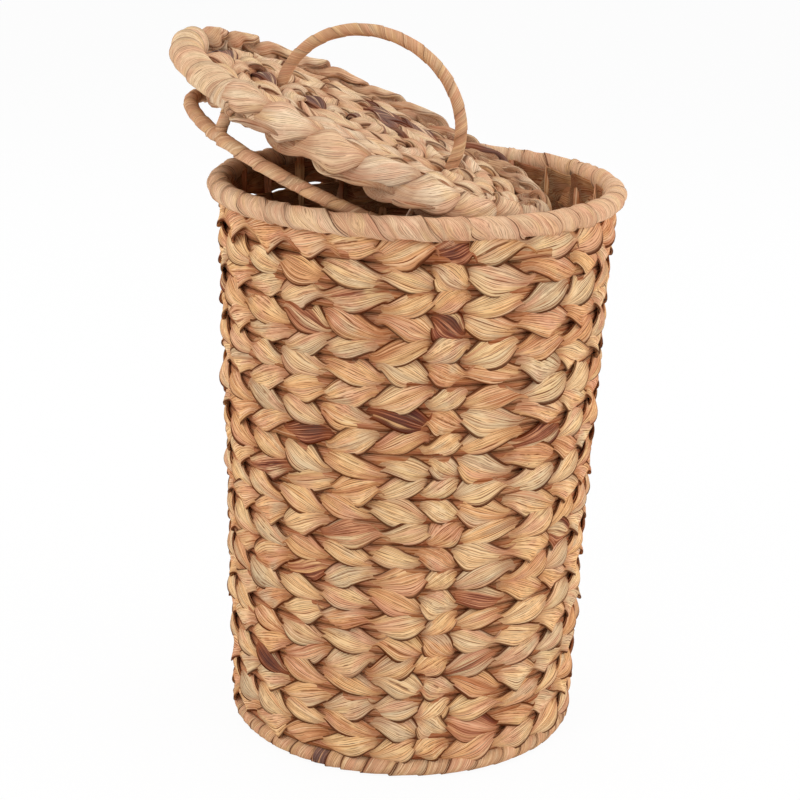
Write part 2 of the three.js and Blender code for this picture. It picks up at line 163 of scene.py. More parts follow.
def weld(mesh):
    """Joins points that lie on each other, as at a pointed end, and drops the faces that this flattens."""
    work = bmesh.new()
    work.from_mesh(mesh)
    bmesh.ops.remove_doubles(work, verts=work.verts, dist=WELD_DISTANCE)
    bmesh.ops.dissolve_degenerate(work, dist=WELD_DISTANCE, edges=work.edges)
    work.to_mesh(mesh)
    work.free()


def skin(name, sheets, material, body, replaced=(), welded=False):
    """One mesh object from grids: each has points (rows, columns, 3), a grain map one step larger than
    the grid, leaf numbers (rows, columns, 4), and whether it loops, closes or shifts. The signed volume
    tells whether the faces point inwards, and then they are turned round."""
    points, faces, grain, leaf, first = [], [], [], [], 0
    for sheet in sheets:
        rows, columns = sheet["points"].shape[:2]
        corner, ci, cj = quads(rows, columns, sheet.get("loops", True), sheet.get("closes", True),
                               sheet.get("shift", 0), first)
        points.append(sheet["points"].reshape(-1, 3))
        leaf.append(sheet["leaf"].reshape(-1, 4))
        faces.append(corner)
        grain.append(sheet["grain"][ci, cj].reshape(-1, 2))
        first += rows * columns
    points, faces = np.concatenate(points) * MM, np.concatenate(faces)
    grain, leaf = np.concatenate(grain), np.concatenate(leaf)
    a, b, c = points[faces[:, 0]], points[faces[:, 1]], points[faces[:, 2]]
    if np.einsum("ij,ij->", a, np.cross(b, c)) < 0:
        faces = faces[:, ::-1]
        grain = grain.reshape(-1, 4, 2)[:, ::-1].reshape(-1, 2)
    mesh = bpy.data.meshes.new(name)
    mesh.vertices.add(len(points))
    mesh.vertices.foreach_set("co", points.astype(np.float32).ravel())
    mesh.loops.add(faces.size)
    mesh.loops.foreach_set("vertex_index", faces.astype(np.int32).ravel())
    mesh.polygons.add(len(faces))
    mesh.polygons.foreach_set("loop_start", np.arange(0, faces.size, 4, dtype=np.int32))
    mesh.polygons.foreach_set("use_smooth", np.ones(len(faces), bool))
    mesh.uv_layers.new(name="grain").data.foreach_set("uv", grain.astype(np.float32).ravel())
    numbers = mesh.attributes.new("leaf", "FLOAT_COLOR", "POINT")
    numbers.data.foreach_set("color", leaf.astype(np.float32).ravel())
    mesh.update(calc_edges=True)
    if welded:
        weld(mesh)
    mesh.materials.append(material)
    piece = bpy.data.objects.new(name, mesh)
    bpy.context.scene.collection.objects.link(piece)
    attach(piece, body)
    if replaced:
        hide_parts(*replaced)
    return piece


print("in a welded piece, points within", WELD_DISTANCE, "m are joined")

# %% [markdown]
# ## Shader arithmetic
# A finish is a formula: fibres times tint, plus a darker edge. Nodes could be linked one by one, but then
# the formula can't be read. So one small class wraps a socket and adds a Math node for each operator. Any
# other node comes from one method that takes its type, its settings and what its sockets hold.

# %% Socket arithmetic


class Wire:
    """An output socket that can be used in arithmetic."""

    def __init__(self, socket):
        self.socket = socket

    def node(self, kind, settings=None, sockets=None, out=0):
        """Adds a node: its settings are set first, then its sockets are linked or given their values."""
        tree = self.socket.id_data
        made = tree.nodes.new(kind)
        for key, value in (settings or {}).items():
            if key == "stops":
                ramp = made.color_ramp
                while len(ramp.elements) < len(value):
                    ramp.elements.new(1.0)
                for element, (place, colour) in zip(ramp.elements, value):
                    element.position = place
                    element.color = colour
            else:
                setattr(made, key, value)
        for key, value in (sockets or {}).items():
            if isinstance(value, Wire):
                tree.links.new(value.socket, made.inputs[key])
            else:
                made.inputs[key].default_value = value
        return Wire(made.outputs[out])

    def math(self, operation, *others):
        """A Math node of this value and others."""
        return self.node("ShaderNodeMath", {"operation": operation}, dict(enumerate((self, *others))))

    def __add__(self, other):
        return self.math("ADD", other)

    def __radd__(self, other):
        return self.math("ADD", other)

    def __sub__(self, other):
        return self.math("SUBTRACT", other)

    def __rsub__(self, other):
        return self.math("MULTIPLY", -1.0).math("ADD", other)

    def __mul__(self, other):
        return self.math("MULTIPLY", other)

    def __rmul__(self, other):
        return self.math("MULTIPLY", other)

    def between(self, low, high):
        """How far this value is on its way from low to high, eased, from 0 to 1."""
        settings = {"interpolation_type": "SMOOTHSTEP"}
        return self.node("ShaderNodeMapRange", settings, {"Value": self, "From Min": low, "From Max": high})

    def mix(self, first, second):
        """A colour on the way from first to second by this value."""
        return self.node("ShaderNodeMix", {"data_type": "RGBA"}, {0: self, 6: first, 7: second}, out=2)


def plug(wire, socket):
    """Links a wire to a shader's socket."""
    socket.id_data.links.new(wire.socket, socket)


def linear(red, green, blue):
    """A colour written in screen values from 0 to 255, as the linear values that a shader takes."""
    share = np.array([red, green, blue]) / 255
    value = np.where(share <= 0.04045, share / 12.92, ((share + 0.055) / 1.055) ** 2.4)
    return (*map(float, value), 1.0)


print("a middle grey on screen is", round(linear(128, 128, 128)[0], 3), "in linear values")

# %% [markdown]
# ## The dry leaf finish
# The stalks are split, pressed and dried leaf sheaths: pale straw to orange tan, some grey green, a few
# stained purple brown. A picture of a leaf could be wrapped round each strand, but a formula never repeats.
# Fine fibres run along each strand and draw together where it narrows, so the pattern follows the grain
# map. Painted shade, with a little dust, darkens the edges and the parts that dive into the weave, and a
# painted shadow line marks the upper edges. One function makes the finish, and the strands, strips and
# stakes share it.

# %% Leaf colours
PALE = linear(248, 216, 174)
ROSE = linear(222, 162, 130)
YELLOW = linear(238, 200, 144)
DUSTY = linear(206, 182, 148)
# The red brown of the painted shade and dust at the leaf ends.
SHADE_AND_DUST_BROWN = linear(152, 80, 38)
BROWN = linear(150, 86, 44)
# A dark brown for the veins and for the painted shade on the strands' sides.
VEIN_AND_SIDE_SHADE = linear(104, 46, 14)
# The dark red brown of the painted shadow line along the leaves' edges.
EDGE_SHADOW = linear(76, 27, 4)
SHADE = linear(50, 16, 3)
LEAF_TONES = [(0.0, linear(200, 178, 144)), (0.18, linear(224, 194, 152)), (0.38, linear(244, 203, 151)),
              (0.58, linear(240, 188, 131)), (0.78, linear(224, 166, 118)), (1.0, linear(200, 134, 94))]
LID_TONES = [(0.0, linear(208, 184, 156)), (0.25, linear(236, 210, 178)), (0.55, linear(232, 202, 164)),
             (0.8, linear(224, 184, 150)), (1.0, linear(204, 160, 124))]
STAIN_TONES = [(0.0, linear(70, 30, 36)), (0.25, linear(104, 48, 40)), (0.45, linear(138, 74, 54)),
               (0.65, linear(162, 98, 72)), (0.85, linear(196, 134, 98)), (1.0, linear(208, 150, 112))]
LID_STAIN_TONES = [(0.0, linear(84, 60, 62)), (0.4, linear(116, 86, 82)), (0.7, linear(150, 110, 94)),
                   (1.0, linear(196, 150, 122))]
print("tones: leaf", len(LEAF_TONES), "lid", len(LID_TONES), "stain", len(STAIN_TONES), len(LID_STAIN_TONES))

# %% Leaf patterns
# Each noise: waves a centimetre along the strand, waves over half its width, its own place, its detail.
NOISES = {
    "fibres": (0.16, 12.0, 0.0, 3.0),
    "drift": (0.08, 1.2, 7.0, 1.0),
    "blotches": (0.5, 0.8, 13.0, 2.0),
    "bands": (0.1, 2.2, 29.0, 2.0),
    "vein gaps": (1.5, 3.0, 41.0, 2.0),
    "hair gaps": (1.7, 4.0, 53.0, 2.0),
    "rosy": (0.45, 0.9, 61.0, 2.0),
    "yellow": (0.45, 0.9, 77.0, 2.0),
    "fray": (0.45, 0.6, 91.0, 2.0),
    "dusty": (0.4, 0.8, 101.0, 2.0),
}
# Each patch: the noise that places it, its colour, from where to where it fades in, its strength.
PATCHES = (
    ("rosy", ROSE, (0.46, 0.66), 1.0),
    ("yellow", YELLOW, (0.5, 0.7), 0.9),
    ("dusty", DUSTY, (0.54, 0.7), 0.9),
)
# Veins and hairs: lines over half the width, how thick a line is, from where to where its gaps close.
VEINS, VEIN_GAPS = (5.3, 0.14), (0.42, 0.56)
HAIRS, HAIR_GAPS = (9.1, 0.2), (0.38, 0.52)
# How far drift and seed move those lines, and how far seeds are apart in the noise.
LINE_DRIFT, LINE_START, SEED_STEP = 5.0, 9.0, 43.0
# How strongly painted shade and dust darken a leaf towards its ends.
END_SHADE_AND_DUST = 0.4
BUMP_STRENGTH, BUMP_HEIGHT = 0.4, 0.6 * MM
print("noises:", len(NOISES), "patches:", len(PATCHES))

# %% Leaf material


def leaf_material(name, tones, across_rate=1.0, edge=(0.8, 0.94), deep=0.4, vein=0.6, wavy=0.75,
                  side_shade_and_dust=0.2, shadow_line=0.9, stains=STAIN_TONES):
    """Tint picks a colour from the tones; noise that is stretched along the strand adds fibres, rosy, yellow
    and dusty patches and blotches; stain adds red brown and purple streaks. Veins and hairs are even lines
    along the strand that noise bends and breaks up. Painted shade darkens the strand towards its sides and
    down in the weave, painted shade and dust darken its ends, and a painted shadow line runs along its upper
    edge. Fibres, veins and hairs also feed the bump."""
    material = bpy.data.materials.new(name)
    material.use_nodes = True
    shader = material.node_tree.nodes["Principled BSDF"]
    grain_map = material.node_tree.nodes.new("ShaderNodeUVMap")
    grain_map.uv_map = "grain"
    grain = Wire(grain_map.outputs["UV"])
    node = grain.node
    along = node("ShaderNodeSeparateXYZ", None, {0: grain}, 0)
    across = Wire(along.socket.node.outputs[1])
    leaf = node("ShaderNodeAttribute", {"attribute_name": "leaf"}, None, "Color")
    depth = Wire(leaf.socket.node.outputs["Alpha"])
    tint = node("ShaderNodeSeparateColor", None, {0: leaf}, 0)
    stain = Wire(tint.socket.node.outputs[1])
    seed = Wire(tint.socket.node.outputs[2])

    def noise(which):
        """Noise by grain map and seed, so that no two leaves match."""
        rate_along, rate_across, offset, detail = NOISES[which]
        place = node("ShaderNodeCombineXYZ", None, {
            0: along * rate_along, 1: across * (rate_across * across_rate), 2: seed * SEED_STEP + offset})
        return node("ShaderNodeTexNoise", None, {"Vector": place, "Scale": 1.0, "Detail": detail}, "Fac")

    drift = noise("drift")

    def lines(rate, thick):
        """Even lines along the strand: near the middle of each step across, which a slow drift bends."""
        place = across * (rate * across_rate) + drift * LINE_DRIFT + seed * LINE_START
        return (place.math("FRACT") - 0.5).math("ABSOLUTE").between(thick, thick * 0.2)

    fibres, blotches, bands = noise("fibres"), noise("blotches"), noise("bands")
    veins = lines(*VEINS) * noise("vein gaps").between(*VEIN_GAPS)
    hairs = lines(*HAIRS) * noise("hair gaps").between(*HAIR_GAPS)

    # The leaf's own colour, its patches, and the dark and pale fibres
    wander = tint + (blotches - 0.5) * wavy + (bands - 0.5) * wavy
    colour = node("ShaderNodeValToRGB", {"stops": tones}, {0: wander})
    for which, patch, limits, strength in PATCHES:
        colour = (noise(which).between(*limits) * (wavy * strength)).mix(colour, patch)
    colour = (fibres.between(0.5, 0.28) * (vein * 0.7)).mix(colour, BROWN)
    colour = (fibres.between(0.5, 0.68) * 0.55).mix(colour, PALE)
    colour = (hairs * vein).mix(colour, BROWN)

    # Stain: streaks that are darker where it is strong, in an area with a ragged edge
    streaks = (fibres - 0.5) * 1.4 + (blotches - 0.5) * 0.9 + 0.68 - stain * 0.32
    stained = node("ShaderNodeValToRGB", {"stops": stains}, {0: streaks.between(0.2, 0.8)})
    stained_area = (stain + (bands - 0.5) * 2.2 + (blotches + fibres - 1.0) * 1.2).between(0.5, 0.75)
    colour = (stained_area * 0.92).mix(colour, stained)
    colour = (veins * (vein * 1.05)).mix(colour, VEIN_AND_SIDE_SHADE)

    # Painted shade towards the sides and down in the weave, painted shade and dust towards the ends, and a
    # painted shadow line along the upper edge
    side = ((across + 1.0).math("PINGPONG", 2.0) - 1.0).math("ABSOLUTE")
    # Painted shade, with a little dust, towards the strand's sides
    colour = (side.between(0.45, 1.0) * side_shade_and_dust).mix(colour, VEIN_AND_SIDE_SHADE)
    # Painted shade and dust towards the leaf's ends, where it dives into the weave
    colour = (depth.between(0.06, 0.5) * END_SHADE_AND_DUST).mix(colour, SHADE_AND_DUST_BROWN)
    # A painted shadow line along the ragged edge of the upper face; on the strips it marks the seams
    frayed = side + (noise("fray") - 0.5) * ((1.0 - edge[0]) * 2.0)
    upper_face = across.between(-1.04, -1.0)
    colour = (frayed.between(*edge) * depth.between(0.7, 0.4) * upper_face * shadow_line).mix(colour, EDGE_SHADOW)
    # Painted shade where the strand lies deep in the weave
    colour = (depth.between(0.7, 1.0) * deep).mix(colour, SHADE)

    # Dry leaf has no gloss: a reflection at a low angle would turn its edges grey
    plug(colour, shader.inputs["Base Color"])
    plug(0.5 + fibres * 0.3, shader.inputs["Roughness"])
    shader.inputs["Specular IOR Level"].default_value = 0.0
    relief = fibres - (veins + hairs) * 0.4
    bump_sockets = {"Strength": BUMP_STRENGTH, "Distance": BUMP_HEIGHT, "Height": relief}
    plug(node("ShaderNodeBump", None, bump_sockets), shader.inputs["Normal"])
    return material


# %% Leaf finishes
wall_leaf = leaf_material("wall_leaf", LEAF_TONES, vein=0.8)
base_leaf = leaf_material("base_leaf", LEAF_TONES)
lid_leaf = leaf_material("lid_leaf", LID_TONES, across_rate=1.5, edge=(0.86, 0.98), wavy=0.55, shadow_line=0.8,
                         stains=LID_STAIN_TONES)
border_leaf = leaf_material("border_leaf", LID_TONES, across_rate=1.5, edge=(0.92, 1.0), deep=0.3, wavy=0.5,
                            shadow_line=0.65, stains=LID_STAIN_TONES)
print("finishes:", wall_leaf.name, base_leaf.name, lid_leaf.name, border_leaf.name)

# %% [markdown]
# ## A twined strand
# Two strands twist round each other between the stakes. Seen from outside, each strand swells into a
# pointed leaf as it passes in front of a stake, then dives under its partner and passes behind the next
# stake. That is a helix squashed against the wall: it swings out and in by the cosine of its turn and
# climbs by the sine. Its flat section is widest in front of a stake, and narrow where the strands cross.
# Rows that climb the opposite way on every second course give the chevrons of the photograph. A bevelled
# curve could follow the same line, but its section couldn't swell, lean and fold on the way.

# %% Habits of the leaves
LEAF_KEYS = ("tint", "stain", "seed")


def leaf_habits(rng, stakes, purple=0.06):
    """How each leaf of one row differs from the next: shares of the width and slant, lift and slip in
    millimetres, roll in radians, shift in stakes, the phases of its folds, and its colour. The share purple
    of the leaves is stained."""
    stained = rng.random(stakes) < purple
    stain = np.where(stained, rng.uniform(0.45, 0.95, stakes), rng.uniform(0, 0.16, stakes))
    return {
        "wide": rng.uniform(0.8, 1.25, stakes),
        "lift": rng.uniform(-0.3, 0.7, stakes),
        "slip": rng.uniform(-1.4, 1.4, stakes),
        "slant": rng.uniform(0.55, 1.3, stakes),
        "roll": rng.uniform(-0.1, 0.3, stakes),
        "shift": rng.uniform(-0.18, 0.18, stakes),
        "fold": rng.random((2, stakes)),
        "girth": np.ones(stakes),
        "tint": rng.uniform(0.14, 0.9, stakes),
        "stain": stain,
        "seed": rng.random(stakes),
    }


print("habits of a leaf:", ", ".join(leaf_habits(np.random.default_rng(0), 1)))

# %% Turns of a strand
FADE_START, FADE_LENGTH = 0.8, 0.2


def strand_turns(habits, stakes, first, steps):
    """Where a strand is along its row: x in stakes, its turn in radians, how far it is from the middle of
    the leaf that it forms, from -1 to 1, and a function that picks that leaf's habit and fades it to the
    next leaf's."""
    x = first + 1 + np.arange(stakes * steps) / steps
    shifts = np.append(habits["shift"], habits["shift"][0])
    shifted = x + np.interp(x % stakes, np.arange(stakes + 1), shifts) - first
    number = np.round(shifted / 2).astype(int)
    local = 2 * (shifted / 2 - number)
    here = (2 * number + first) % stakes
    there = (here + 2 * np.sign(local).astype(int)) % stakes
    fade = 0.5 * smooth((np.abs(local) - FADE_START) / FADE_LENGTH)

    def pick(values):
        return values[..., here] * (1 - fade) + values[..., there] * fade

    return x, np.pi * shifted, local, pick


print("a leaf fades into the next one over", FADE_LENGTH, "of its half length")

# %% Strand surface
# How straight a leaf runs, how pointed and how flat it is, and how far it sinks behind a stake.
STRAIGHTNESS, POINTEDNESS, FLATNESS = 0.92, 1.5, 0.9
SINK, SINK_EASE = 2.2, 1.5
# Each ridge on a leaf: its share of the height, its waves across, and how it turns along the leaf.
RIDGES = ((0.6, 1.1, 0.7), (0.4, 2.3, -0.9))
# Millimetres to one unit of the grain map, which is a centimetre.
GRAIN_UNIT = 10


def strand(place, habits, stakes, first, lay, steps, sides, swing, climb, size, tilt=0.6, fold=0.45,
           curl=0.0):
    """One strand of a twined row as a closed tube.

    With turn t = pi (x - first) at x stakes along, its middle lies swing cos t out of the row's line, sunk a
    little more behind a stake, and to its side by -lay climb times a sine that is drawn towards a triangle,
    so that a leaf runs straight. Size gives its width in front of a stake and at a crossing, then its
    thickness at both, and they change with |cos t|. The flat face leans by -lay tilt sin t, so that it rolls
    over at a crossing. The section is a lens with sharp edges and ridges of height fold, bent back by curl
    times the square of the distance from its middle.
    """
    x, turn, local, pick = strand_turns(habits, stakes, first, steps)
    cos_t, sin_t = np.cos(turn), np.sin(turn)
    front = np.maximum(cos_t, 0)

    girth = pick(habits["girth"])
    out = girth * (swing * cos_t + pick(habits["lift"]) * front - SINK * np.maximum(-cos_t, 0) ** SINK_EASE)
    zigzag = np.arcsin(STRAIGHTNESS * sin_t) / np.arcsin(STRAIGHTNESS)
    side = girth * (-lay * climb * pick(habits["slant"]) * zigzag + pick(habits["slip"]))
    centre, normal, up = place(x)
    path = centre + normal * out[:, None] + up * side[:, None]
    tangent = unit(np.roll(path, -1, 0) - np.roll(path, 1, 0))
    lean = -lay * tilt * sin_t + pick(habits["roll"]) * front
    face = normal * np.cos(lean)[:, None] + up * np.sin(lean)[:, None]
    across = unit(np.cross(face, tangent))
    face = np.cross(tangent, across)

    wide_open, wide_cross, thick_open, thick_cross = size
    share = np.abs(cos_t) ** POINTEDNESS
    wide = girth * (wide_cross + (wide_open - wide_cross) * share) * (1 + (pick(habits["wide"]) - 1) * front)
    thick = girth * (thick_cross + (thick_open - thick_cross) * share)
    psi = FULL_TURN * np.arange(sides) / sides
    q, crown = np.cos(psi), np.sign(np.sin(psi)) * np.abs(np.sin(psi)) ** FLATNESS
    ridges = 0
    for (height, waves, drift), phase in zip(RIDGES, pick(habits["fold"])):
        ridges = ridges + height * np.cos(FULL_TURN * (waves * q + phase[:, None]) + drift * local[:, None])
    raised = thick[:, None] / 2 * crown + fold * ridges * np.maximum(crown, 0) * np.sqrt(front)[:, None]
    aside = wide[:, None] / 2 * q
    raised = raised - curl * aside ** 2
    points = path[:, None] + across[:, None] * aside[..., None] + face[:, None] * raised[..., None]

    row, column = np.meshgrid(np.arange(len(x) + 1), np.arange(sides + 1), indexing="ij")
    angle = FULL_TURN * column / sides
    v = np.where(column <= sides // 2, np.cos(angle), -2 - np.cos(angle))
    length = np.linalg.norm(np.diff(centre[:2], axis=0)) * steps / GRAIN_UNIT
    grain = np.stack([row / steps * length, v], -1)
    depth = np.repeat(0.5 - 0.5 * cos_t[:, None], sides, 1)
    parts = [np.repeat(pick(habits[key])[:, None], sides, 1) for key in LEAF_KEYS]
    return {"points": points, "grain": grain, "leaf": np.stack([*parts, depth], -1)}


def twined_row(place, habits, stakes, lay, **shape):
    """The two strands of a row: one is outside the even stakes, the other outside the odd ones."""
    return [strand(place, habits, stakes, first, lay, **shape) for first in (0, 1)]


def lay_of(number):
    """Which way a row climbs: every second row the other way."""
    return 1 if number % 2 else -1


print("ridges on a leaf:", len(RIDGES), "lay of the first rows:", [lay_of(number) for number in range(4)])

# %% Core of a row
CORE_SIDES = 6
# Tint, stain, seed and depth of a core. A depth of 0.75 paints it darker with painted shade and dust, as it
# lies in the weave.
CORE_LEAF = [0.9, 0.4, 0.5, 0.75]


def core_band(place, stakes, wide, thick=1.0, rise=-0.1):
    """A flat band along the middle of a row, where the two strands press together: an oval of that width and
    half thickness, raised off the row's line, with two steps to a stake."""
    x = np.arange(stakes * 2) / 2
    centre, normal, up = place(x)
    psi = FULL_TURN * np.arange(CORE_SIDES) / CORE_SIDES
    reach = np.broadcast_to(wide, x.shape)[:, None] / 2 * np.cos(psi)
    points = (centre + normal * rise)[:, None] + up[:, None] * reach[..., None]
    points = points + normal[:, None] * (thick * np.sin(psi))[:, None]
    row, column = np.meshgrid(np.arange(len(x) + 1), np.arange(CORE_SIDES + 1), indexing="ij")
    grain = np.stack([row * 1.0, column / (CORE_SIDES / 2) - 1], -1)
    return {"points": points, "grain": grain, "leaf": np.broadcast_to(CORE_LEAF, (len(x), CORE_SIDES, 4))}


print("core: tint, stain, seed and depth", CORE_LEAF)

# %% [markdown]
# ## The wall
# Twenty-three courses stand on each other from the foot to the rim. One row could be repeated up the wall
# by an Array modifier, but then all rows would be alike. Here each has its own seeded habits and stays one
# piece, so that it can stand for its own solid. A few stained leaves that catch the eye are put where the
# photograph shows them. The top course is broad and reaches up behind the rim, but for a slit at the back
# left.

# %% Wall courses
# How far a row's line lies inside its course's outer face.
ROW_INSET = 2.9
WALL_STEPS, WALL_SIDES = 14, 20
LEAF_WIDTH, TOP_LEAF_WIDTH, TOP_RAISE = 18.6, 24.0, 3.0
# Shares of the leaf's width: at a crossing, and for the core.
CROSSING_SHARE, CORE_SHARE = 0.61, 0.77
# The slit: its angle, how much thinner its leaves are, the cosine where it starts, and how it fades.
SLIT_ANGLE, SLIT_SHARE, SLIT_START, SLIT_FADE = np.radians(145), 0.3, 0.75, 0.15
# Course and stake of each stained leaf, counted from 0, and how strong its stain is.
STAINED = {(15, 1): 0.95, (19, 2): 0.9, (10, 0): 0.55, (8, 23): 0.75, (7, 3): 0.7, (4, 3): 0.6, (12, 6): 0.6,
           (20, 0): 0.45, (13, 0): 0.42, (3, 2): 0.5}


def wall_place(z, outer):
    """A level circle at height z, with its outward and upward directions, by stakes along it."""
    radius = outer - ROW_INSET

    def place(x):
        theta = wall_angle(x)
        normal = np.stack([np.cos(theta), np.sin(theta), 0 * theta], -1)
        centre = normal * radius + np.array([0, 0, z])
        return centre, normal, np.broadcast_to([0.0, 0.0, 1.0], normal.shape)

    return place


wall_rng = np.random.default_rng(5)
for number, node in enumerate(COURSES):
    habits = leaf_habits(wall_rng, STAKES, purple=0.035)
    for (course, stake), amount in STAINED.items():
        if course == number:
            habits["stain"][stake] = amount
    z, wide = COURSE_Z[number], LEAF_WIDTH
    if node == COURSES[-1]:
        z, wide = z + TOP_RAISE, TOP_LEAF_WIDTH
        slit = smooth((np.cos(STAKE_ANGLES - SLIT_ANGLE) - SLIT_START) / SLIT_FADE)
        habits["girth"] = 1 - SLIT_SHARE * slit
    place = wall_place(z, COURSE_OUTER[number])
    sheets = twined_row(place, habits, STAKES, lay_of(number), steps=WALL_STEPS, sides=WALL_SIDES, swing=1.5,
                        climb=4.4, size=(wide, wide * CROSSING_SHARE, 1.6, 2.8), fold=0.35, tilt=0.45)
    core_width = np.repeat(habits["girth"], 2) * wide * CORE_SHARE
    sheets.append(core_band(place, STAKES, core_width, thick=1.1, rise=0.35))
    skin(f"wall_row_{number + 1:02d}", sheets, wall_leaf, "basket", (node,))
print("wall rows:", len(COURSES), "quads in each strand:", STAKES * WALL_STEPS * WALL_SIDES)

# %% [markdown]
# ## Stakes
# Behind the leaves stand the uprights, flat brown stalks that show inside the basket and in the gaps at the
# points of the chevrons. Cylinders could stand there, but a few rings of points give the oval section and
# the slope of the wall at once.

# %% Stakes
# Half the wall's thickness: a stake stands in its middle.
WALL_HALF = 5.4
STAKE_SIDES, STAKE_WIDTH, STAKE_THICKNESS = 10, 8.0, 4.0
# Shares of the height at which a stake has a ring of points, and how full that ring is.
STAKE_SHARES = np.array([0, 0, 0.25, 0.5, 0.75, 1, 1])
STAKE_SWELL = np.array([0, 1, 1, 1, 1, 1, 0])
STAKE_GRAIN, STAKE_SEED_RATE = (32, 12.5), 0.37
stake_leaf = leaf_material("stake_leaf", [(0.0, BROWN), (0.5, linear(178, 116, 76)), (1.0, BROWN)], deep=0.0)


def stake_sheet(theta, bottom, top):
    """An upright tube with an oval section: its middle goes from the bottom radius and height to the top
    ones, and its ends close on a point."""
    psi = FULL_TURN * np.arange(STAKE_SIDES) / STAKE_SIDES
    outward = np.array([np.cos(theta), np.sin(theta), 0])
    sideways = np.array([-np.sin(theta), np.cos(theta), 0])
    radius = bottom[0] + (top[0] - bottom[0]) * STAKE_SHARES
    height = bottom[1] + (top[1] - bottom[1]) * STAKE_SHARES
    middle = outward * radius[:, None] + np.array([0, 0, 1]) * height[:, None]
    ring = outward * (STAKE_THICKNESS / 2 * np.sin(psi))[:, None]
    ring = ring + sideways * (STAKE_WIDTH / 2 * np.cos(psi))[:, None]
    points = middle[:, None] + ring[None] * STAKE_SWELL[:, None, None]
    row, column = np.meshgrid(STAKE_SHARES, np.arange(STAKE_SIDES + 1), indexing="ij")
    grain = np.stack([row * STAKE_GRAIN[0], column / STAKE_GRAIN[1]], -1)
    leaf = np.zeros((len(STAKE_SHARES), STAKE_SIDES, 4))
    leaf[..., 0] = 0.5
    leaf[..., 2] = (theta * STAKE_SEED_RATE) % 1
    return {"points": points, "grain": grain, "leaf": leaf, "loops": False}


stake_low = (COURSE_OUTER[0] - WALL_HALF, FOOT_Z + FOOT_TUBE)
stake_high = (COURSE_OUTER[-1] - WALL_HALF, RIM_Z)
skin("stakes", [stake_sheet(angle, stake_low, stake_high) for angle in STAKE_ANGLES], stake_leaf, "basket",
     ("stake_frame",), welded=True)
print("stakes:", STAKES, "from", np.round(stake_low, 1), "to", np.round(stake_high, 1))

# %% [markdown]
# ## Bound rings
# The rim, the foot and the ring under the lid are hoops bound with one long strip of leaf. The strip winds
# round as a helix: after each loop it lies one strip's width further on, with its edge lapped over the loop
# before. A torus with painted seams would stay smooth at its outline. So the grid follows the strip, every
# seam is a crisp step, and the last column of the grid joins the first one a loop further on.

# %% Loops of a strip
# Where points lie across a loop of strip: close together at its edges.
LOOP_SHARES = np.array([0.0, 0.03, 0.12, 0.35, 0.6, 0.82, 0.94, 0.985])
LAP_SLOPE = 1.5


def strip_habits(rng, loops, rough=0.35):
    """Width, lap, loose tab and colour of each loop of a strip, and the waves of its unevenness."""
    return {
        "wide": rng.uniform(1 - rough, 1 + rough, loops),
        "lap": rng.uniform(0.4, 1.0, loops),
        "tab": np.where(rng.random(loops) < 0.4, rng.uniform(0.6, 2.0, loops), 0.0),
        "tab_at": rng.uniform(-1.9, -1.2, loops),
        "tint": rng.uniform(0.1, 0.85, loops),
        "stain": np.zeros(loops),
        "seed": np.full(loops, rng.random()),
        "waves": rng.integers(loops, 3 * loops, 5) / loops,
        "phases": rng.uniform(0, FULL_TURN, 5),
    }


def uneven(habits, wound):
    """A gentle unevenness along the strip: the mean of five sine waves, one to three waves per loop."""
    return np.sin(FULL_TURN * habits["waves"] * wound[..., None] + habits["phases"]).mean(-1)


def loop_edges(habits, length):
    """Where each loop begins along a line of this length: the loops' widths added up."""
    return np.concatenate([[0], np.cumsum(habits["wide"] / habits["wide"].sum())]) * length


def loop_picker(number, turned, loops):
    """A function that picks a loop's habit, which turns into the next loop's over one turn."""

    def pick(values):
        return values[number % loops][:, None] * (1 - turned) + values[(number + 1) % loops][:, None] * turned

    return pick


def round_line(place, s, radius, psi):
    """Points round a line, at distance s along it and at a radius and turn psi from it."""
    centre, outward, up = place(s)
    return centre + outward * (radius * np.cos(psi))[..., None] + up * (radius * np.sin(psi))[..., None]


def strip_grain(loop, turned, share, tube):
    """The grain map of a strip: u is the distance wound so far, in centimetres, and v goes across it."""
    u = (np.floor(loop + 1e-9) + turned) * FULL_TURN * tube / GRAIN_UNIT
    return np.stack([u, share[:, None] * 2 - 1 + 0 * turned], -1)


print("points across a strip:", len(LOOP_SHARES))

# %% Ring of wound strip
# Unevenness: how far a seam strays, in loops, how much the strip swells, in laps, and from where.
SEAM_STRAY, SWELL, SWELL_OFFSET = 0.14, 0.6, 0.37
# A loose tab: its height by the tube's radius, its spread in radians and its reach across the strip.
TAB_HEIGHT, TAB_ARC, TAB_REACH = 1 / 8, 0.35, 0.25


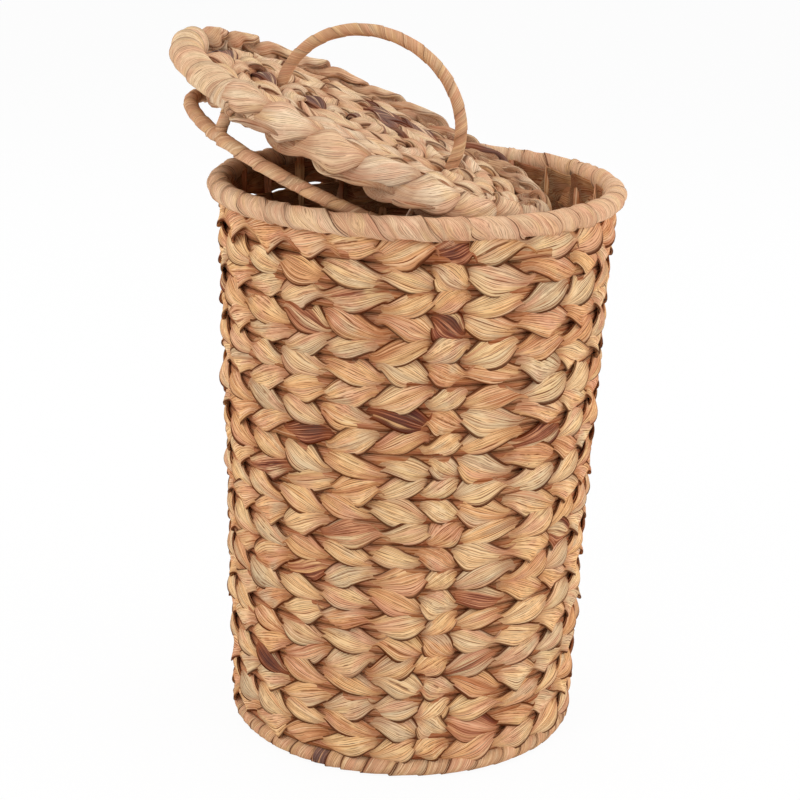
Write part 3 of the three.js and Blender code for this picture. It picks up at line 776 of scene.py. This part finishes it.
def wound_ring(place, length, habits, tube, lap, sides):
    """A strip wound round a closed line. At loop number w and turn psi the strip is S(w + psi / 2 pi) along
    the line, where S adds up the loops' widths, and its surface steps down from at most half a lap above the
    tube, at the loop's lapped edge, to half a lap below it, at the far edge. A tab stands up where the strip
    is loose."""
    loops = len(habits["wide"])
    edges = loop_edges(habits, length)
    w = (np.arange(loops)[:, None] + LOOP_SHARES).ravel()
    number = np.floor(w).astype(int)
    share = w - number
    psi = FULL_TURN * np.arange(sides) / sides
    turned = psi / FULL_TURN
    wound = w[:, None] + turned
    whole = np.floor(wound).astype(int)
    begin, end = edges[whole % loops], edges[whole % loops + 1]
    s = begin + length * (whole // loops) + (wound - whole) * (end - begin)
    s = s + uneven(habits, wound) * length / loops * SEAM_STRAY
    pick = loop_picker(number, turned, loops)
    edge = (1 - share[:, None]) ** LAP_SLOPE
    bend = np.angle(np.exp(1j * (psi - pick(habits["tab_at"])))) / TAB_ARC
    tab = tube * TAB_HEIGHT * pick(habits["tab"]) * np.exp(-bend ** 2) * np.exp(-share[:, None] / TAB_REACH)
    swell = lap * SWELL * uneven(habits, wound + SWELL_OFFSET)
    radius = tube - lap * 0.5 + lap * pick(habits["lap"]) * edge + tab + swell
    loop, column = np.meshgrid(np.append(w, loops), np.arange(sides + 1), indexing="ij")
    grain = strip_grain(loop, column / sides, np.append(share, 0.0), tube)
    leaf = np.stack([*(pick(habits[key]) for key in LEAF_KEYS), np.zeros_like(s)], -1)
    points = round_line(place, s, radius, psi)
    return {"points": points, "grain": grain, "leaf": leaf, "shift": len(LOOP_SHARES)}


def level_ring(radius, z, way=1):
    """A level circle by distance along it, and its length. It begins at the back and goes to the left or,
    with way -1, to the right, which turns the slant of the seams round."""

    def place(s):
        theta = np.pi / 2 + way * s / radius
        outward = np.stack([np.cos(theta), np.sin(theta), 0 * theta], -1)
        return outward * radius + np.array([0, 0, z]), outward, np.array([0.0, 0.0, 1.0])

    return place, FULL_TURN * radius


print("a loose tab rises", TAB_HEIGHT, "of the tube's radius and spreads", TAB_ARC, "radians")

# %% Strip finishes
STRIP_TONES = [(0.0, linear(200, 158, 124)), (0.3, linear(234, 198, 164)), (0.6, linear(226, 184, 148)),
               (0.85, linear(212, 160, 126)), (1.0, ROSE)]
BROWN_STRIP_TONES = [(0.0, linear(178, 130, 98)), (0.35, linear(200, 152, 116)), (0.7, linear(208, 160, 122)),
                     (1.0, linear(196, 138, 106))]
FOOT_STRIP_TONES = [(0.0, linear(184, 142, 108)), (0.35, linear(212, 166, 126)), (0.7, linear(220, 172, 130)),
                    (1.0, linear(204, 146, 110))]
# On the strips the painted shadow line and the painted side shade darken the seams between loops.
strip_leaf = leaf_material("strip_leaf", STRIP_TONES, across_rate=1.5, edge=(0.93, 0.99), deep=0.0, vein=0.5,
                           wavy=0.5, side_shade_and_dust=0.16)
brown_strip = leaf_material("brown_strip", BROWN_STRIP_TONES, edge=(0.93, 1.0), deep=0.0, vein=0.25, wavy=0.5,
                            side_shade_and_dust=0.1)
foot_strip = leaf_material("foot_strip", FOOT_STRIP_TONES, edge=(0.84, 0.98), deep=0.0, vein=0.5, wavy=0.6,
                           stains=LID_STAIN_TONES)
print("strip finishes:", strip_leaf.name, brown_strip.name, foot_strip.name)

# %% Rim and foot
RIM_LOOPS, FOOT_LOOPS = 36, 46
# Loop of each stained part of the foot's strip, and how strong its stain is.
FOOT_STAINED = {20: 0.95, 6: 0.7, 39: 0.8}
ring_rng = np.random.default_rng(11)
rim_habits = strip_habits(ring_rng, RIM_LOOPS, rough=0.5)
rim = wound_ring(*level_ring(RIM_RADIUS, RIM_Z, way=-1), rim_habits, RIM_TUBE, lap=1.3, sides=20)
skin("rim_binding", [rim], strip_leaf, "basket", ("rim_wrap",))
foot_habits = strip_habits(ring_rng, FOOT_LOOPS)
foot_habits["stain"][list(FOOT_STAINED)] = list(FOOT_STAINED.values())
foot = wound_ring(*level_ring(FOOT_RADIUS, FOOT_Z), foot_habits, FOOT_TUBE, lap=0.9, sides=16)


def set_down(sheets):
    """Keeps every point on the ground or above it."""
    for sheet in sheets:
        sheet["points"][..., 2] = np.maximum(sheet["points"][..., 2], 0.0)
    return sheets


skin("foot_binding", set_down([foot]), foot_strip, "basket", ("foot_wrap",))
print("bound rings: rim", rim["points"].shape, "foot", foot["points"].shape)

# %% [markdown]
# ## The base
# The base is the same twining laid flat, in rings round a small middle. It is seen only from below and down
# through the mouth, so a disc with a pattern could do, but the strands of the wall need only another place
# to become rings. A core lies under each ring, so that no light shows through.

# %% Base
BASE_COURSES = nodes_called("base_course_")
BASE_STAKES = [12, 12, 18, 18, 18]
BASE_INSET, BASE_SLACK = 8.3, 2.6
BASE_CORE_WIDTH, BASE_CORE_RISE = 18.0, 1.2
# A band between the last ring and the wall: its stakes, how far past the ring it lies, and its width.
EDGE_STAKES, EDGE_REACH, EDGE_WIDTH = 24, 2.5, 12.0
# The rings of the middle: radius, stakes and leaf width.
BASE_MIDDLE, BASE_MIDDLE_Z = ((14.0, 8, 13.0), (5.0, 6, 9.0)), 3.2
AXES = np.eye(3)


def flat_place(radius, stakes, phase, origin, right, ahead, normal):
    """A circle in a plane that is given by its middle, two directions in it and its normal."""

    def place(x):
        theta = FULL_TURN * (x + phase) / stakes
        outward = np.cos(theta)[:, None] * right + np.sin(theta)[:, None] * ahead
        return origin + outward * radius, np.broadcast_to(normal, outward.shape), outward

    return place


def base_place(radius, stakes, height):
    """A level circle at a height above the ground."""
    return flat_place(radius, stakes, 0.0, AXES[2] * height, *AXES)


base_rng = np.random.default_rng(8)
for number, (node, stakes) in enumerate(zip(BASE_COURSES, BASE_STAKES)):
    low, high = span(node)
    half, outer = (high[2] - low[2]) / 2, high[0]
    place = base_place(outer - BASE_INSET, stakes, half)
    sheets = twined_row(place, leaf_habits(base_rng, stakes), stakes, lay_of(number), steps=8, sides=12,
                        swing=half - BASE_SLACK, climb=3.4, size=(16.0, 9.5, 4.2, 5.0))
    sheets.append(core_band(place, stakes, BASE_CORE_WIDTH, rise=BASE_CORE_RISE - half))
    if node == BASE_COURSES[-1]:
        sheets.append(core_band(base_place(outer + EDGE_REACH, EDGE_STAKES, half), EDGE_STAKES, EDGE_WIDTH))
    skin(f"base_row_{number + 1}", set_down(sheets), base_leaf, "basket", (node,))

sheets = []
for radius, stakes, wide in BASE_MIDDLE:
    place, habits = base_place(radius, stakes, BASE_MIDDLE_Z), leaf_habits(base_rng, stakes)
    sheets += twined_row(place, habits, stakes, 1, steps=8, sides=12, swing=1.2, climb=2.4,
                         size=(wide, 0.7 * wide, 3.6, 4.0))
skin("base_middle", set_down(sheets), base_leaf, "basket", ("base_centre",))
print("base rows:", len(BASE_COURSES), "rings in the middle:", len(BASE_MIDDLE))

# %% [markdown]
# ## The lid's own plane
# The lid lies askew. It could be made level and then turned, but a piece's place belongs in its mesh, so
# its points are worked out from its own middle and its own directions. Those come from the border's solid:
# the middle of its points, the direction in which it is thinnest, and the one that points down its slope.

# %% Lid plane
border_points = corners("lid_border")
LID_MIDDLE = (border_points.min(0) + border_points.max(0)) / 2
LID_UP = np.linalg.svd(border_points - border_points.mean(0), full_matrices=False)[2][2]
LID_UP = LID_UP * np.sign(LID_UP[2])
LID_DOWNHILL = unit(np.cross(AXES[1], LID_UP))
LID_ASIDE = np.cross(LID_UP, LID_DOWNHILL)
LID_RADIUS = np.linalg.norm(border_points - LID_MIDDLE, axis=1).max()
print("lid middle", LID_MIDDLE.round(1), "up", LID_UP.round(3), "downhill", LID_DOWNHILL.round(3))

# %% [markdown]
# ## Lid weave
# Rings of twining fill the lid round a small middle. They are the rows of the wall laid flat, with rounder
# strands. Where two rings would leave a gap between them, a band lies underneath.

# %% Lid rows
LID_COURSES = nodes_called("lid_course_")
# The radius and the stakes of each row.
LID_ROWS = [21.0, 34.5, 48.0, 66.5, 80.0, 93.5]
LID_STAKES = [6, 8, 12, 14, 18, 20]
LID_PHASE, LID_CORE_WIDTH = 0.3, 14.0
# Bands under the gaps: the row that carries each, its radius and its width.
LID_JOINTS, JOINT_STAKES = {3: (57.3, 9.0), 5: (101.5, 13.0)}, 30
# Stakes with a stained leaf, by row, and how strong their stain is.
LID_STAINED, LID_STAIN = {2: [2], 3: [2, 6], 4: [2, 3], 5: [8]}, 0.9
CENTRE_RADIUS, CENTRE_STAKES, CENTRE_PHASE, CENTRE_LIFT = 7.0, 6, 0.2, 2.0


def lid_place(radius, stakes, phase, height=0.0):
    """A circle on the lid at a height above its middle plane."""
    return flat_place(radius, stakes, phase, LID_MIDDLE + LID_UP * height, LID_DOWNHILL, LID_ASIDE, LID_UP)


lid_rng = np.random.default_rng(17)
for number, (node, radius, stakes) in enumerate(zip(LID_COURSES, LID_ROWS, LID_STAKES)):
    habits = leaf_habits(lid_rng, stakes, purple=0.04)
    habits["stain"][LID_STAINED.get(number, [])] = LID_STAIN
    place = lid_place(radius, stakes, LID_PHASE * number)
    sheets = twined_row(place, habits, stakes, lay_of(number), steps=14, sides=14, swing=2.2, climb=3.8,
                        size=(17.5, 11.5, 4.6, 5.4))
    sheets.append(core_band(place, stakes, LID_CORE_WIDTH, thick=2.6, rise=0.6))
    if number in LID_JOINTS:
        joint_radius, wide = LID_JOINTS[number]
        joint_place = lid_place(joint_radius, JOINT_STAKES, 0.0)
        sheets.append(core_band(joint_place, JOINT_STAKES, wide, thick=1.5, rise=-1.0))
    skin(f"lid_row_{number + 1}", sheets, lid_leaf, "lid", (node,))

centre_place = lid_place(CENTRE_RADIUS, CENTRE_STAKES, CENTRE_PHASE, CENTRE_LIFT)
centre_habits = leaf_habits(lid_rng, CENTRE_STAKES, purple=0.2)
centre = twined_row(centre_place, centre_habits, CENTRE_STAKES, 1, steps=10, sides=12, swing=2.6, climb=2.6,
                    size=(12.0, 8.0, 5.0, 5.5))
skin("lid_middle", centre, lid_leaf, "lid", ("lid_centre",))
print("lid rows:", len(LID_COURSES), "leaves in them:", sum(LID_STAKES))

# %% [markdown]
# ## Lid border
# The border is a fat roll: big leaves fold over its outer edge in one row above and one row below, round a
# core. A torus with bumps would miss their points, so the strand is bent over the roll by its curl. At the
# high end the leaves make room for a strip that whips the roll smooth.

# %% Lid border
BORDER_STAKES = 26
BORDER_INSET, BORDER_LIFT = 11.5, 4.0
BORDER_RADIUS = LID_RADIUS - BORDER_INSET
BORDER_CORE_LOOPS, BORDER_CORE_TUBE = 20, 6.5
# The upper and the lower row: how far their leaves lean out from the lid's upward direction, and their width.
BORDER_ROWS = ((math.radians(48), 22.0), (math.radians(228), 18.0))
BORDER_CURL, BORDER_TINT = 1 / 30, 0.8
# From where to where the roll is whipped, how far past that its leaves are slim, and how slim they are.
WHIPPING, WHIP_MARGIN, WHIPPED_GIRTH = np.radians([170.0, 231.0]), (0.1, 0.05), 0.5


def border_place(lean):
    """A circle on the border's roll: the leaves face up turned outward by lean."""

    def place(x):
        theta = FULL_TURN * x / BORDER_STAKES
        outward = np.cos(theta)[:, None] * LID_DOWNHILL + np.sin(theta)[:, None] * LID_ASIDE
        normal = LID_UP * math.cos(lean) + outward * math.sin(lean)
        across = outward * math.cos(lean) - LID_UP * math.sin(lean)
        return LID_MIDDLE + outward * BORDER_RADIUS + normal * BORDER_LIFT, normal, across

    return place


def lid_ring(radius, height, begin=np.pi / 2):
    """A circle parallel to the lid by distance along it, and its length."""

    def place(s):
        theta = begin + s / radius
        outward = np.cos(theta)[..., None] * LID_DOWNHILL + np.sin(theta)[..., None] * LID_ASIDE
        return LID_MIDDLE + LID_UP * height + outward * radius, outward, LID_UP

    return place, FULL_TURN * radius


stake_turn = FULL_TURN * np.arange(BORDER_STAKES) / BORDER_STAKES
whipped = (stake_turn > WHIPPING[0] - WHIP_MARGIN[0]) & (stake_turn < WHIPPING[1] + WHIP_MARGIN[1])
border = []
for lean, wide in BORDER_ROWS:
    habits = leaf_habits(lid_rng, BORDER_STAKES, purple=0.04)
    habits["girth"] = np.where(whipped, WHIPPED_GIRTH, 1.0)
    habits["tint"] = habits["tint"] * BORDER_TINT
    border += twined_row(border_place(lean), habits, BORDER_STAKES, 1, steps=16, sides=18, swing=3.0,
                         climb=4.6, size=(wide, 13.5, 6.4, 7.0), curl=BORDER_CURL)
border_core = strip_habits(lid_rng, BORDER_CORE_LOOPS)
border.append(wound_ring(*lid_ring(BORDER_RADIUS, 0.0), border_core, BORDER_CORE_TUBE, lap=0.5, sides=12))
skin("lid_border_rope", border, border_leaf, "lid", ("lid_border",))
print("border leaves:", 2 * BORDER_STAKES, "whipped:", int(whipped.sum()))

# %% [markdown]
# ## Ring under the lid
# A thinner bound ring hangs under the lid on struts. It drops inside the wall and keeps the lid in place
# when the lid is put on straight. It is the same work as the rim, so it is made by the same winding, with
# its radius and its height from the hoop inside it.

# %% Drop ring
DROP_LOOPS, DROP_TUBE = 44, 4.2
drop_points = corners("drop_hoop") - LID_MIDDLE
DROP_HEIGHT = float((drop_points @ LID_UP).mean())
DROP_RADIUS = float(np.linalg.norm(drop_points - np.outer(drop_points @ LID_UP, LID_UP), axis=1).mean())
drop_habits = strip_habits(ring_rng, DROP_LOOPS)
drop = wound_ring(*lid_ring(DROP_RADIUS, DROP_HEIGHT), drop_habits, DROP_TUBE, lap=0.6, sides=14)
skin("drop_ring_binding", [drop], brown_strip, "lid", ("drop_wrap",))
print("drop ring radius", round(DROP_RADIUS, 1), "height", round(DROP_HEIGHT, 1))

# %% [markdown]
# ## The handle
# A wire arch bound with strip. Its line is half an ellipse on short legs. A bevelled curve would be a
# smooth tube, so the strip is wound again. The line is open here, so the grid keeps its closing column, and
# the doubled points are welded.

# %% Strip wound along an open line


def along_line(points, sideways):
    """A line by distance along it, with the two directions square to it, and its length."""
    steps = np.linalg.norm(np.diff(points, axis=0), axis=1)
    travelled = np.concatenate([[0], np.cumsum(steps)])
    tangents = unit(np.gradient(points, travelled, axis=0))

    def place(s):
        at = np.clip(s, 0, travelled[-1])
        centre = np.stack([np.interp(at, travelled, points[:, k]) for k in range(3)], -1)
        tangent = unit(np.stack([np.interp(at, travelled, tangents[:, k]) for k in range(3)], -1))
        up = np.broadcast_to(sideways, tangent.shape)
        return centre, np.cross(up, tangent), up

    return place, travelled[-1]


def wound_line(place, length, habits, tube, lap, sides):
    """A strip wound along an open line: the formula of the wound ring, with each end drawn to a point."""
    loops = len(habits["wide"])
    step = length / loops
    edges = np.concatenate([[-step], loop_edges(habits, length), [length + step]])
    w = np.append((np.arange(loops + 1)[:, None] + LOOP_SHARES).ravel(), loops + 1)
    number = np.minimum(np.floor(w).astype(int), loops)
    share = w - number
    psi = FULL_TURN * np.arange(sides + 1) / sides
    turned = psi / FULL_TURN
    s = np.interp(w[:, None] + turned, np.arange(len(edges)), edges)
    pick = loop_picker(number, turned, loops)
    radius = tube - lap * 0.5 + lap * pick(habits["lap"]) * (1 - share[:, None]) ** LAP_SLOPE
    radius = np.where((s <= 0) | (s >= length), 0.0, radius)
    loop, column = np.meshgrid(np.append(w, w[-1]), np.append(turned, turned[-1]), indexing="ij")
    grain = strip_grain(loop, column, np.append(share, share[-1]), tube)
    leaf = np.stack([*(pick(habits[key]) for key in LEAF_KEYS), np.zeros_like(s)], -1)
    points = round_line(place, s, radius, psi)
    return {"points": points, "grain": grain, "leaf": leaf, "loops": False, "closes": False}


sample_line = np.array([[0.0, 0.0, 0.0], [0.0, 30.0, 40.0]])
print("a line 30 mm along and 40 mm up is", along_line(sample_line, AXES[0])[1], "mm long")

# %% Handle
# Half the arch's span and its rise, then the lower and the upper end of its legs over the lid's middle.
HANDLE_HALF_SPAN, HANDLE_RISE = 57.5, 50.0
HANDLE_FOOT, HANDLE_LEG_TOP = -3.0, 8.0
HANDLE_TURN = math.radians(-15)
HANDLE_LOOPS, HANDLE_TUBE = 14, 3.8
ARCH_STEPS = 240


def arch_points():
    """Points of the arch, up one leg, along half an ellipse and down the other leg, and the direction
    square to its plane."""
    turn = np.linspace(0, np.pi, ARCH_STEPS)
    x = np.concatenate([[HANDLE_HALF_SPAN], HANDLE_HALF_SPAN * np.cos(turn), [-HANDLE_HALF_SPAN]])
    z = np.concatenate([[HANDLE_FOOT], HANDLE_LEG_TOP + HANDLE_RISE * np.sin(turn), [HANDLE_FOOT]])
    right = LID_DOWNHILL * math.cos(HANDLE_TURN) + LID_ASIDE * math.sin(HANDLE_TURN)
    return LID_MIDDLE + x[:, None] * right + z[:, None] * LID_UP, np.cross(LID_UP, right)


arch_place, arch_length = along_line(*arch_points())
handle_habits = strip_habits(ring_rng, HANDLE_LOOPS)
handle = wound_line(arch_place, arch_length, handle_habits, HANDLE_TUBE, lap=0.5, sides=14)
skin("handle_binding", [handle], brown_strip, "lid", ("handle_wrap",), welded=True)
print("handle length", round(arch_length, 1))

# %% [markdown]
# ## Whipping, strut and knot
# The same open winding makes the smooth whipping on the border's high end and the bound strut beside it. A
# puffed leaf is knotted round the handle's lower foot. It could be sculpted, but it is small, and a sphere
# that a formula draws into a drop with a few folds looks right.

# %% Whipping and bound strut
WHIP_LOOPS, WHIP_TUBE = 6, 9.6
STRUT_LOOPS, STRUT_TUBE, STRUT_POINTS = 3, 3.6, 12
STRUT_SUNK = 4.0
whip_length = (WHIPPING[1] - WHIPPING[0]) * BORDER_RADIUS
whip_place = lid_ring(BORDER_RADIUS, 0.0, WHIPPING[0])[0]
whip_habits = strip_habits(ring_rng, WHIP_LOOPS, rough=0.45)
whip = wound_line(whip_place, whip_length, whip_habits, WHIP_TUBE, lap=2.3, sides=24)
skin("lid_whipping", [whip], border_leaf, "lid", (), welded=True)


def rod_ends(node):
    """The middles of the two ends of a straight solid: its corners halved along its longest direction."""
    points = corners(node)
    middle = points.mean(0)
    axis = np.linalg.svd(points - middle, full_matrices=False)[2][0]
    along = (points - middle) @ axis
    return points[along < 0].mean(0), points[along > 0].mean(0)


strut_ends = rod_ends("drop_strut_1")
sunk = unit(strut_ends[1] - strut_ends[0]) * STRUT_SUNK
strut_line = np.linspace(strut_ends[0] - sunk, strut_ends[1] + sunk, STRUT_POINTS)
strut_side = unit(np.cross(strut_line[-1] - strut_line[0], LID_DOWNHILL))
strut_place, strut_length = along_line(strut_line, strut_side)
strut_habits = strip_habits(ring_rng, STRUT_LOOPS)
strut = wound_line(strut_place, strut_length, strut_habits, STRUT_TUBE, lap=0.5, sides=12)
skin("strut_binding", [strut], brown_strip, "lid", ("drop_strut_1",), welded=True)
print("whipping", round(whip_length, 1), "strut", round(strut_length, 1))

# %% Knot at the handle's foot
KNOT_TURNS, KNOT_STEPS = 20, 12
# Tint, stain, seed and depth of the knot.
KNOT_LEAF = [0.7, 0.2, 0.37, 0.1]
KNOT_FOLDS, KNOT_FOLD_DEPTH = 7, 0.06
# Where the knot is: along the handle, then aside, downhill and below that point.
KNOT_ALONG, KNOT_ASIDE, KNOT_DOWNHILL, KNOT_BELOW = 6.0, 5.5, 6.0, 2.0
KNOT_LEAN = (0.7, 0.4)
KNOT_SIZE = (12.5, 7.5, 8.5)


def knot(middle, right, ahead, up, size):
    """A puffed leaf: a drop of half sizes along right, ahead and up, narrow above, with its grain upright."""
    theta = np.pi * np.arange(KNOT_STEPS + 1) / KNOT_STEPS
    phi = FULL_TURN * np.arange(KNOT_TURNS) / KNOT_TURNS
    ring = (np.sin(theta) * (0.5 + 0.5 * theta / np.pi))[:, None]
    ring = ring * (1 + KNOT_FOLD_DEPTH * np.cos(KNOT_FOLDS * phi + 2 * theta[:, None]))
    points = middle + (ring * np.cos(phi) * size[0])[..., None] * right
    points = points + (ring * np.sin(phi) * size[1])[..., None] * ahead
    points = points + (np.cos(theta)[:, None] + 0 * phi)[..., None] * size[2] * up
    row, column = np.meshgrid(np.append(theta, np.pi), np.arange(KNOT_TURNS + 1), indexing="ij")
    grain = np.stack([row * size[2] / GRAIN_UNIT, np.cos(FULL_TURN * column / KNOT_TURNS)], -1)
    leaf = np.broadcast_to(KNOT_LEAF, (KNOT_STEPS + 1, KNOT_TURNS, 4))
    return {"points": points, "grain": grain, "leaf": leaf, "loops": False}


handle_foot = arch_place(np.array([KNOT_ALONG]))[0][0]
knot_middle = handle_foot - LID_ASIDE * KNOT_ASIDE + LID_DOWNHILL * KNOT_DOWNHILL - LID_UP * KNOT_BELOW
knot_up = unit(LID_UP - LID_ASIDE * KNOT_LEAN[0] - LID_DOWNHILL * KNOT_LEAN[1])
knot_side = unit(np.cross(LID_ASIDE, knot_up))
knot_leaf = knot(knot_middle, knot_side, np.cross(knot_up, knot_side), knot_up, KNOT_SIZE)
skin("handle_knot", [knot_leaf], lid_leaf, "lid", (), welded=True)
print("knot at", knot_middle.round(1))

# %% [markdown]
# ## What stays of the solids
# The hoops inside the bindings, the plain struts and the wires of base and lid hardly show. They could be
# made again, but they already have the right shape, so they stay and get a cane or a wire finish: noise
# between two colours.

# %% Finishes of the carried solids
SPECKLE_SCALE = 260.0


def solid_material(name, colour, dark, metallic, roughness):
    """A plain finish with noise on Object coordinates between two colours."""
    material = bpy.data.materials.new(name)
    material.use_nodes = True
    shader = material.node_tree.nodes["Principled BSDF"]
    place = Wire(material.node_tree.nodes.new("ShaderNodeTexCoord").outputs["Object"])
    noise_sockets = {"Vector": place, "Scale": SPECKLE_SCALE, "Detail": 3.0}
    speckle = place.node("ShaderNodeTexNoise", None, noise_sockets, "Fac")
    plug(speckle.between(0.35, 0.65).mix(dark, colour), shader.inputs["Base Color"])
    plug(roughness + speckle * 0.2, shader.inputs["Roughness"])
    shader.inputs["Metallic"].default_value = metallic
    return material


TAN = linear(212, 158, 112)
cane = solid_material("cane", TAN, BROWN, metallic=0.0, roughness=0.5)
strut_cane = solid_material("strut_cane", linear(226, 196, 162), TAN, metallic=0.0, roughness=0.5)
wire = solid_material("dark_wire", linear(96, 70, 54), linear(60, 42, 32), metallic=0.4, roughness=0.4)
FINISHES = {"rim_hoop": cane, "foot_hoop": cane, "drop_hoop": cane, "handle_wire": wire, "base_spokes": wire,
            "lid_frame": wire}
FINISHES.update({node: strut_cane for node in nodes_called("drop_strut_")[1:]})
for node, material in FINISHES.items():
    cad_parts[node].data.materials.clear()
    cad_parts[node].data.materials.append(material)
print("carried solids:", len(FINISHES))

# %% [markdown]
# ## Floor, light and camera
# The photograph is a cut-out on white: soft light from above and in front, no horizon. Stronger lamps could
# turn the floor white, but they would bleach the leaves too. So the floor and the world look white to the
# camera only, and the floor keeps a faint contact shadow. Lamps all round show the other sides as well. The
# camera was fitted to the outline of the basket in the photograph.

# %% Floor
FLOOR_Z, FLOOR_HALF = -0.0002, 15
FLOOR_GLOW = 0.94


def seen_white(tree):
    """One for rays from the camera, or from it by way of gloss or glass, and zero for the others."""
    rays = tree.nodes.new("ShaderNodeLightPath")
    seen = Wire(rays.outputs["Is Camera Ray"])
    for way in ("Is Glossy Ray", "Is Transmission Ray"):
        seen = seen.math("MAXIMUM", Wire(rays.outputs[way]))
    return seen


floor_mesh = bpy.data.meshes.new("floor")
floor_corners = [(x * FLOOR_HALF, y * FLOOR_HALF, FLOOR_Z) for x, y in ((-1, -1), (1, -1), (1, 1), (-1, 1))]
floor_mesh.from_pydata(floor_corners, [], [(0, 1, 2, 3)])
floor = bpy.data.objects.new("floor", floor_mesh)
bpy.context.scene.collection.objects.link(floor)
floor_paint = bpy.data.materials.new("floor_paint")
floor_paint.use_nodes = True
tree = floor_paint.node_tree
matte = tree.nodes["Principled BSDF"]
matte.inputs["Base Color"].default_value = (0.9, 0.9, 0.9, 1)
matte.inputs["Roughness"].default_value = 0.9
glow = tree.nodes.new("ShaderNodeEmission")
glow.inputs["Color"].default_value = (1, 1, 1, 1)
blend = tree.nodes.new("ShaderNodeMixShader")
plug(seen_white(tree) * FLOOR_GLOW, blend.inputs[0])
plug(Wire(matte.outputs[0]), blend.inputs[1])
plug(Wire(glow.outputs[0]), blend.inputs[2])
plug(Wire(blend.outputs[0]), tree.nodes["Material Output"].inputs[0])
floor_mesh.materials.append(floor_paint)
print("floor at", FLOOR_Z)

# %% World and lamps
WORLD_LIGHT = 0.58
# Place, size and power of each lamp.
LAMPS = {
    "key": ((-1.1, -1.5, 1.7), 1.0, 14),
    "fill": ((1.7, -1.2, 1.1), 1.2, 10),
    "top": ((0.0, 0.2, 2.2), 1.2, 8),
    "left side": ((-2.0, -0.2, 0.7), 1.0, 5),
    "right side": ((2.0, -0.3, 1.0), 1.0, 7),
    "left back": ((-1.6, 1.2, 0.8), 1.0, 7),
    "right back": ((1.6, 1.2, 0.8), 1.0, 9),
}
LAMP_TARGET = Vector((0, 0, 0.2))


def softbox(name, place, size, power):
    """A square lamp that faces the basket's middle."""
    data = bpy.data.lights.new(name, "AREA")
    data.size = size
    data.energy = power
    lamp = bpy.data.objects.new(name, data)
    lamp.location = place
    lamp.rotation_euler = (LAMP_TARGET - Vector(place)).to_track_quat("-Z", "Y").to_euler()
    bpy.context.scene.collection.objects.link(lamp)


world = bpy.data.worlds.new("studio")
bpy.context.scene.world = world
world.use_nodes = True
background = world.node_tree.nodes["Background"]
background.inputs["Color"].default_value = (1, 1, 1, 1)
plug(WORLD_LIGHT + seen_white(world.node_tree) * (1 - WORLD_LIGHT), background.inputs["Strength"])
for name, (place, size, power) in LAMPS.items():
    softbox(name, place, size, power)
print("world", WORLD_LIGHT, "lamps:", len(LAMPS))

# %% Camera
LENS, SENSOR = 89.2, 36.0
CAMERA_PLACE = (0.0, -1.1713, 0.5716)
pitch, yaw, roll = math.radians(17.447), math.radians(-0.306), math.radians(1.738)
ahead = Vector((math.sin(yaw) * math.cos(pitch), math.cos(yaw) * math.cos(pitch), -math.sin(pitch)))
right = Vector((math.cos(yaw), -math.sin(yaw), 0))
above = right.cross(ahead)
turned_right = right * math.cos(roll) + above * math.sin(roll)
turned_above = above * math.cos(roll) - right * math.sin(roll)
turned = Matrix((turned_right, turned_above, -ahead)).transposed()
camera_data = bpy.data.cameras.new("camera")
camera_data.lens = LENS
camera_data.sensor_width = SENSOR
camera = bpy.data.objects.new("camera", camera_data)
camera.matrix_world = Matrix.Translation(CAMERA_PLACE) @ turned.to_4x4()
bpy.context.scene.collection.objects.link(camera)
bpy.context.scene.camera = camera
bpy.context.scene.view_settings.view_transform = "Standard"
print("camera at", CAMERA_PLACE, "lens", LENS)
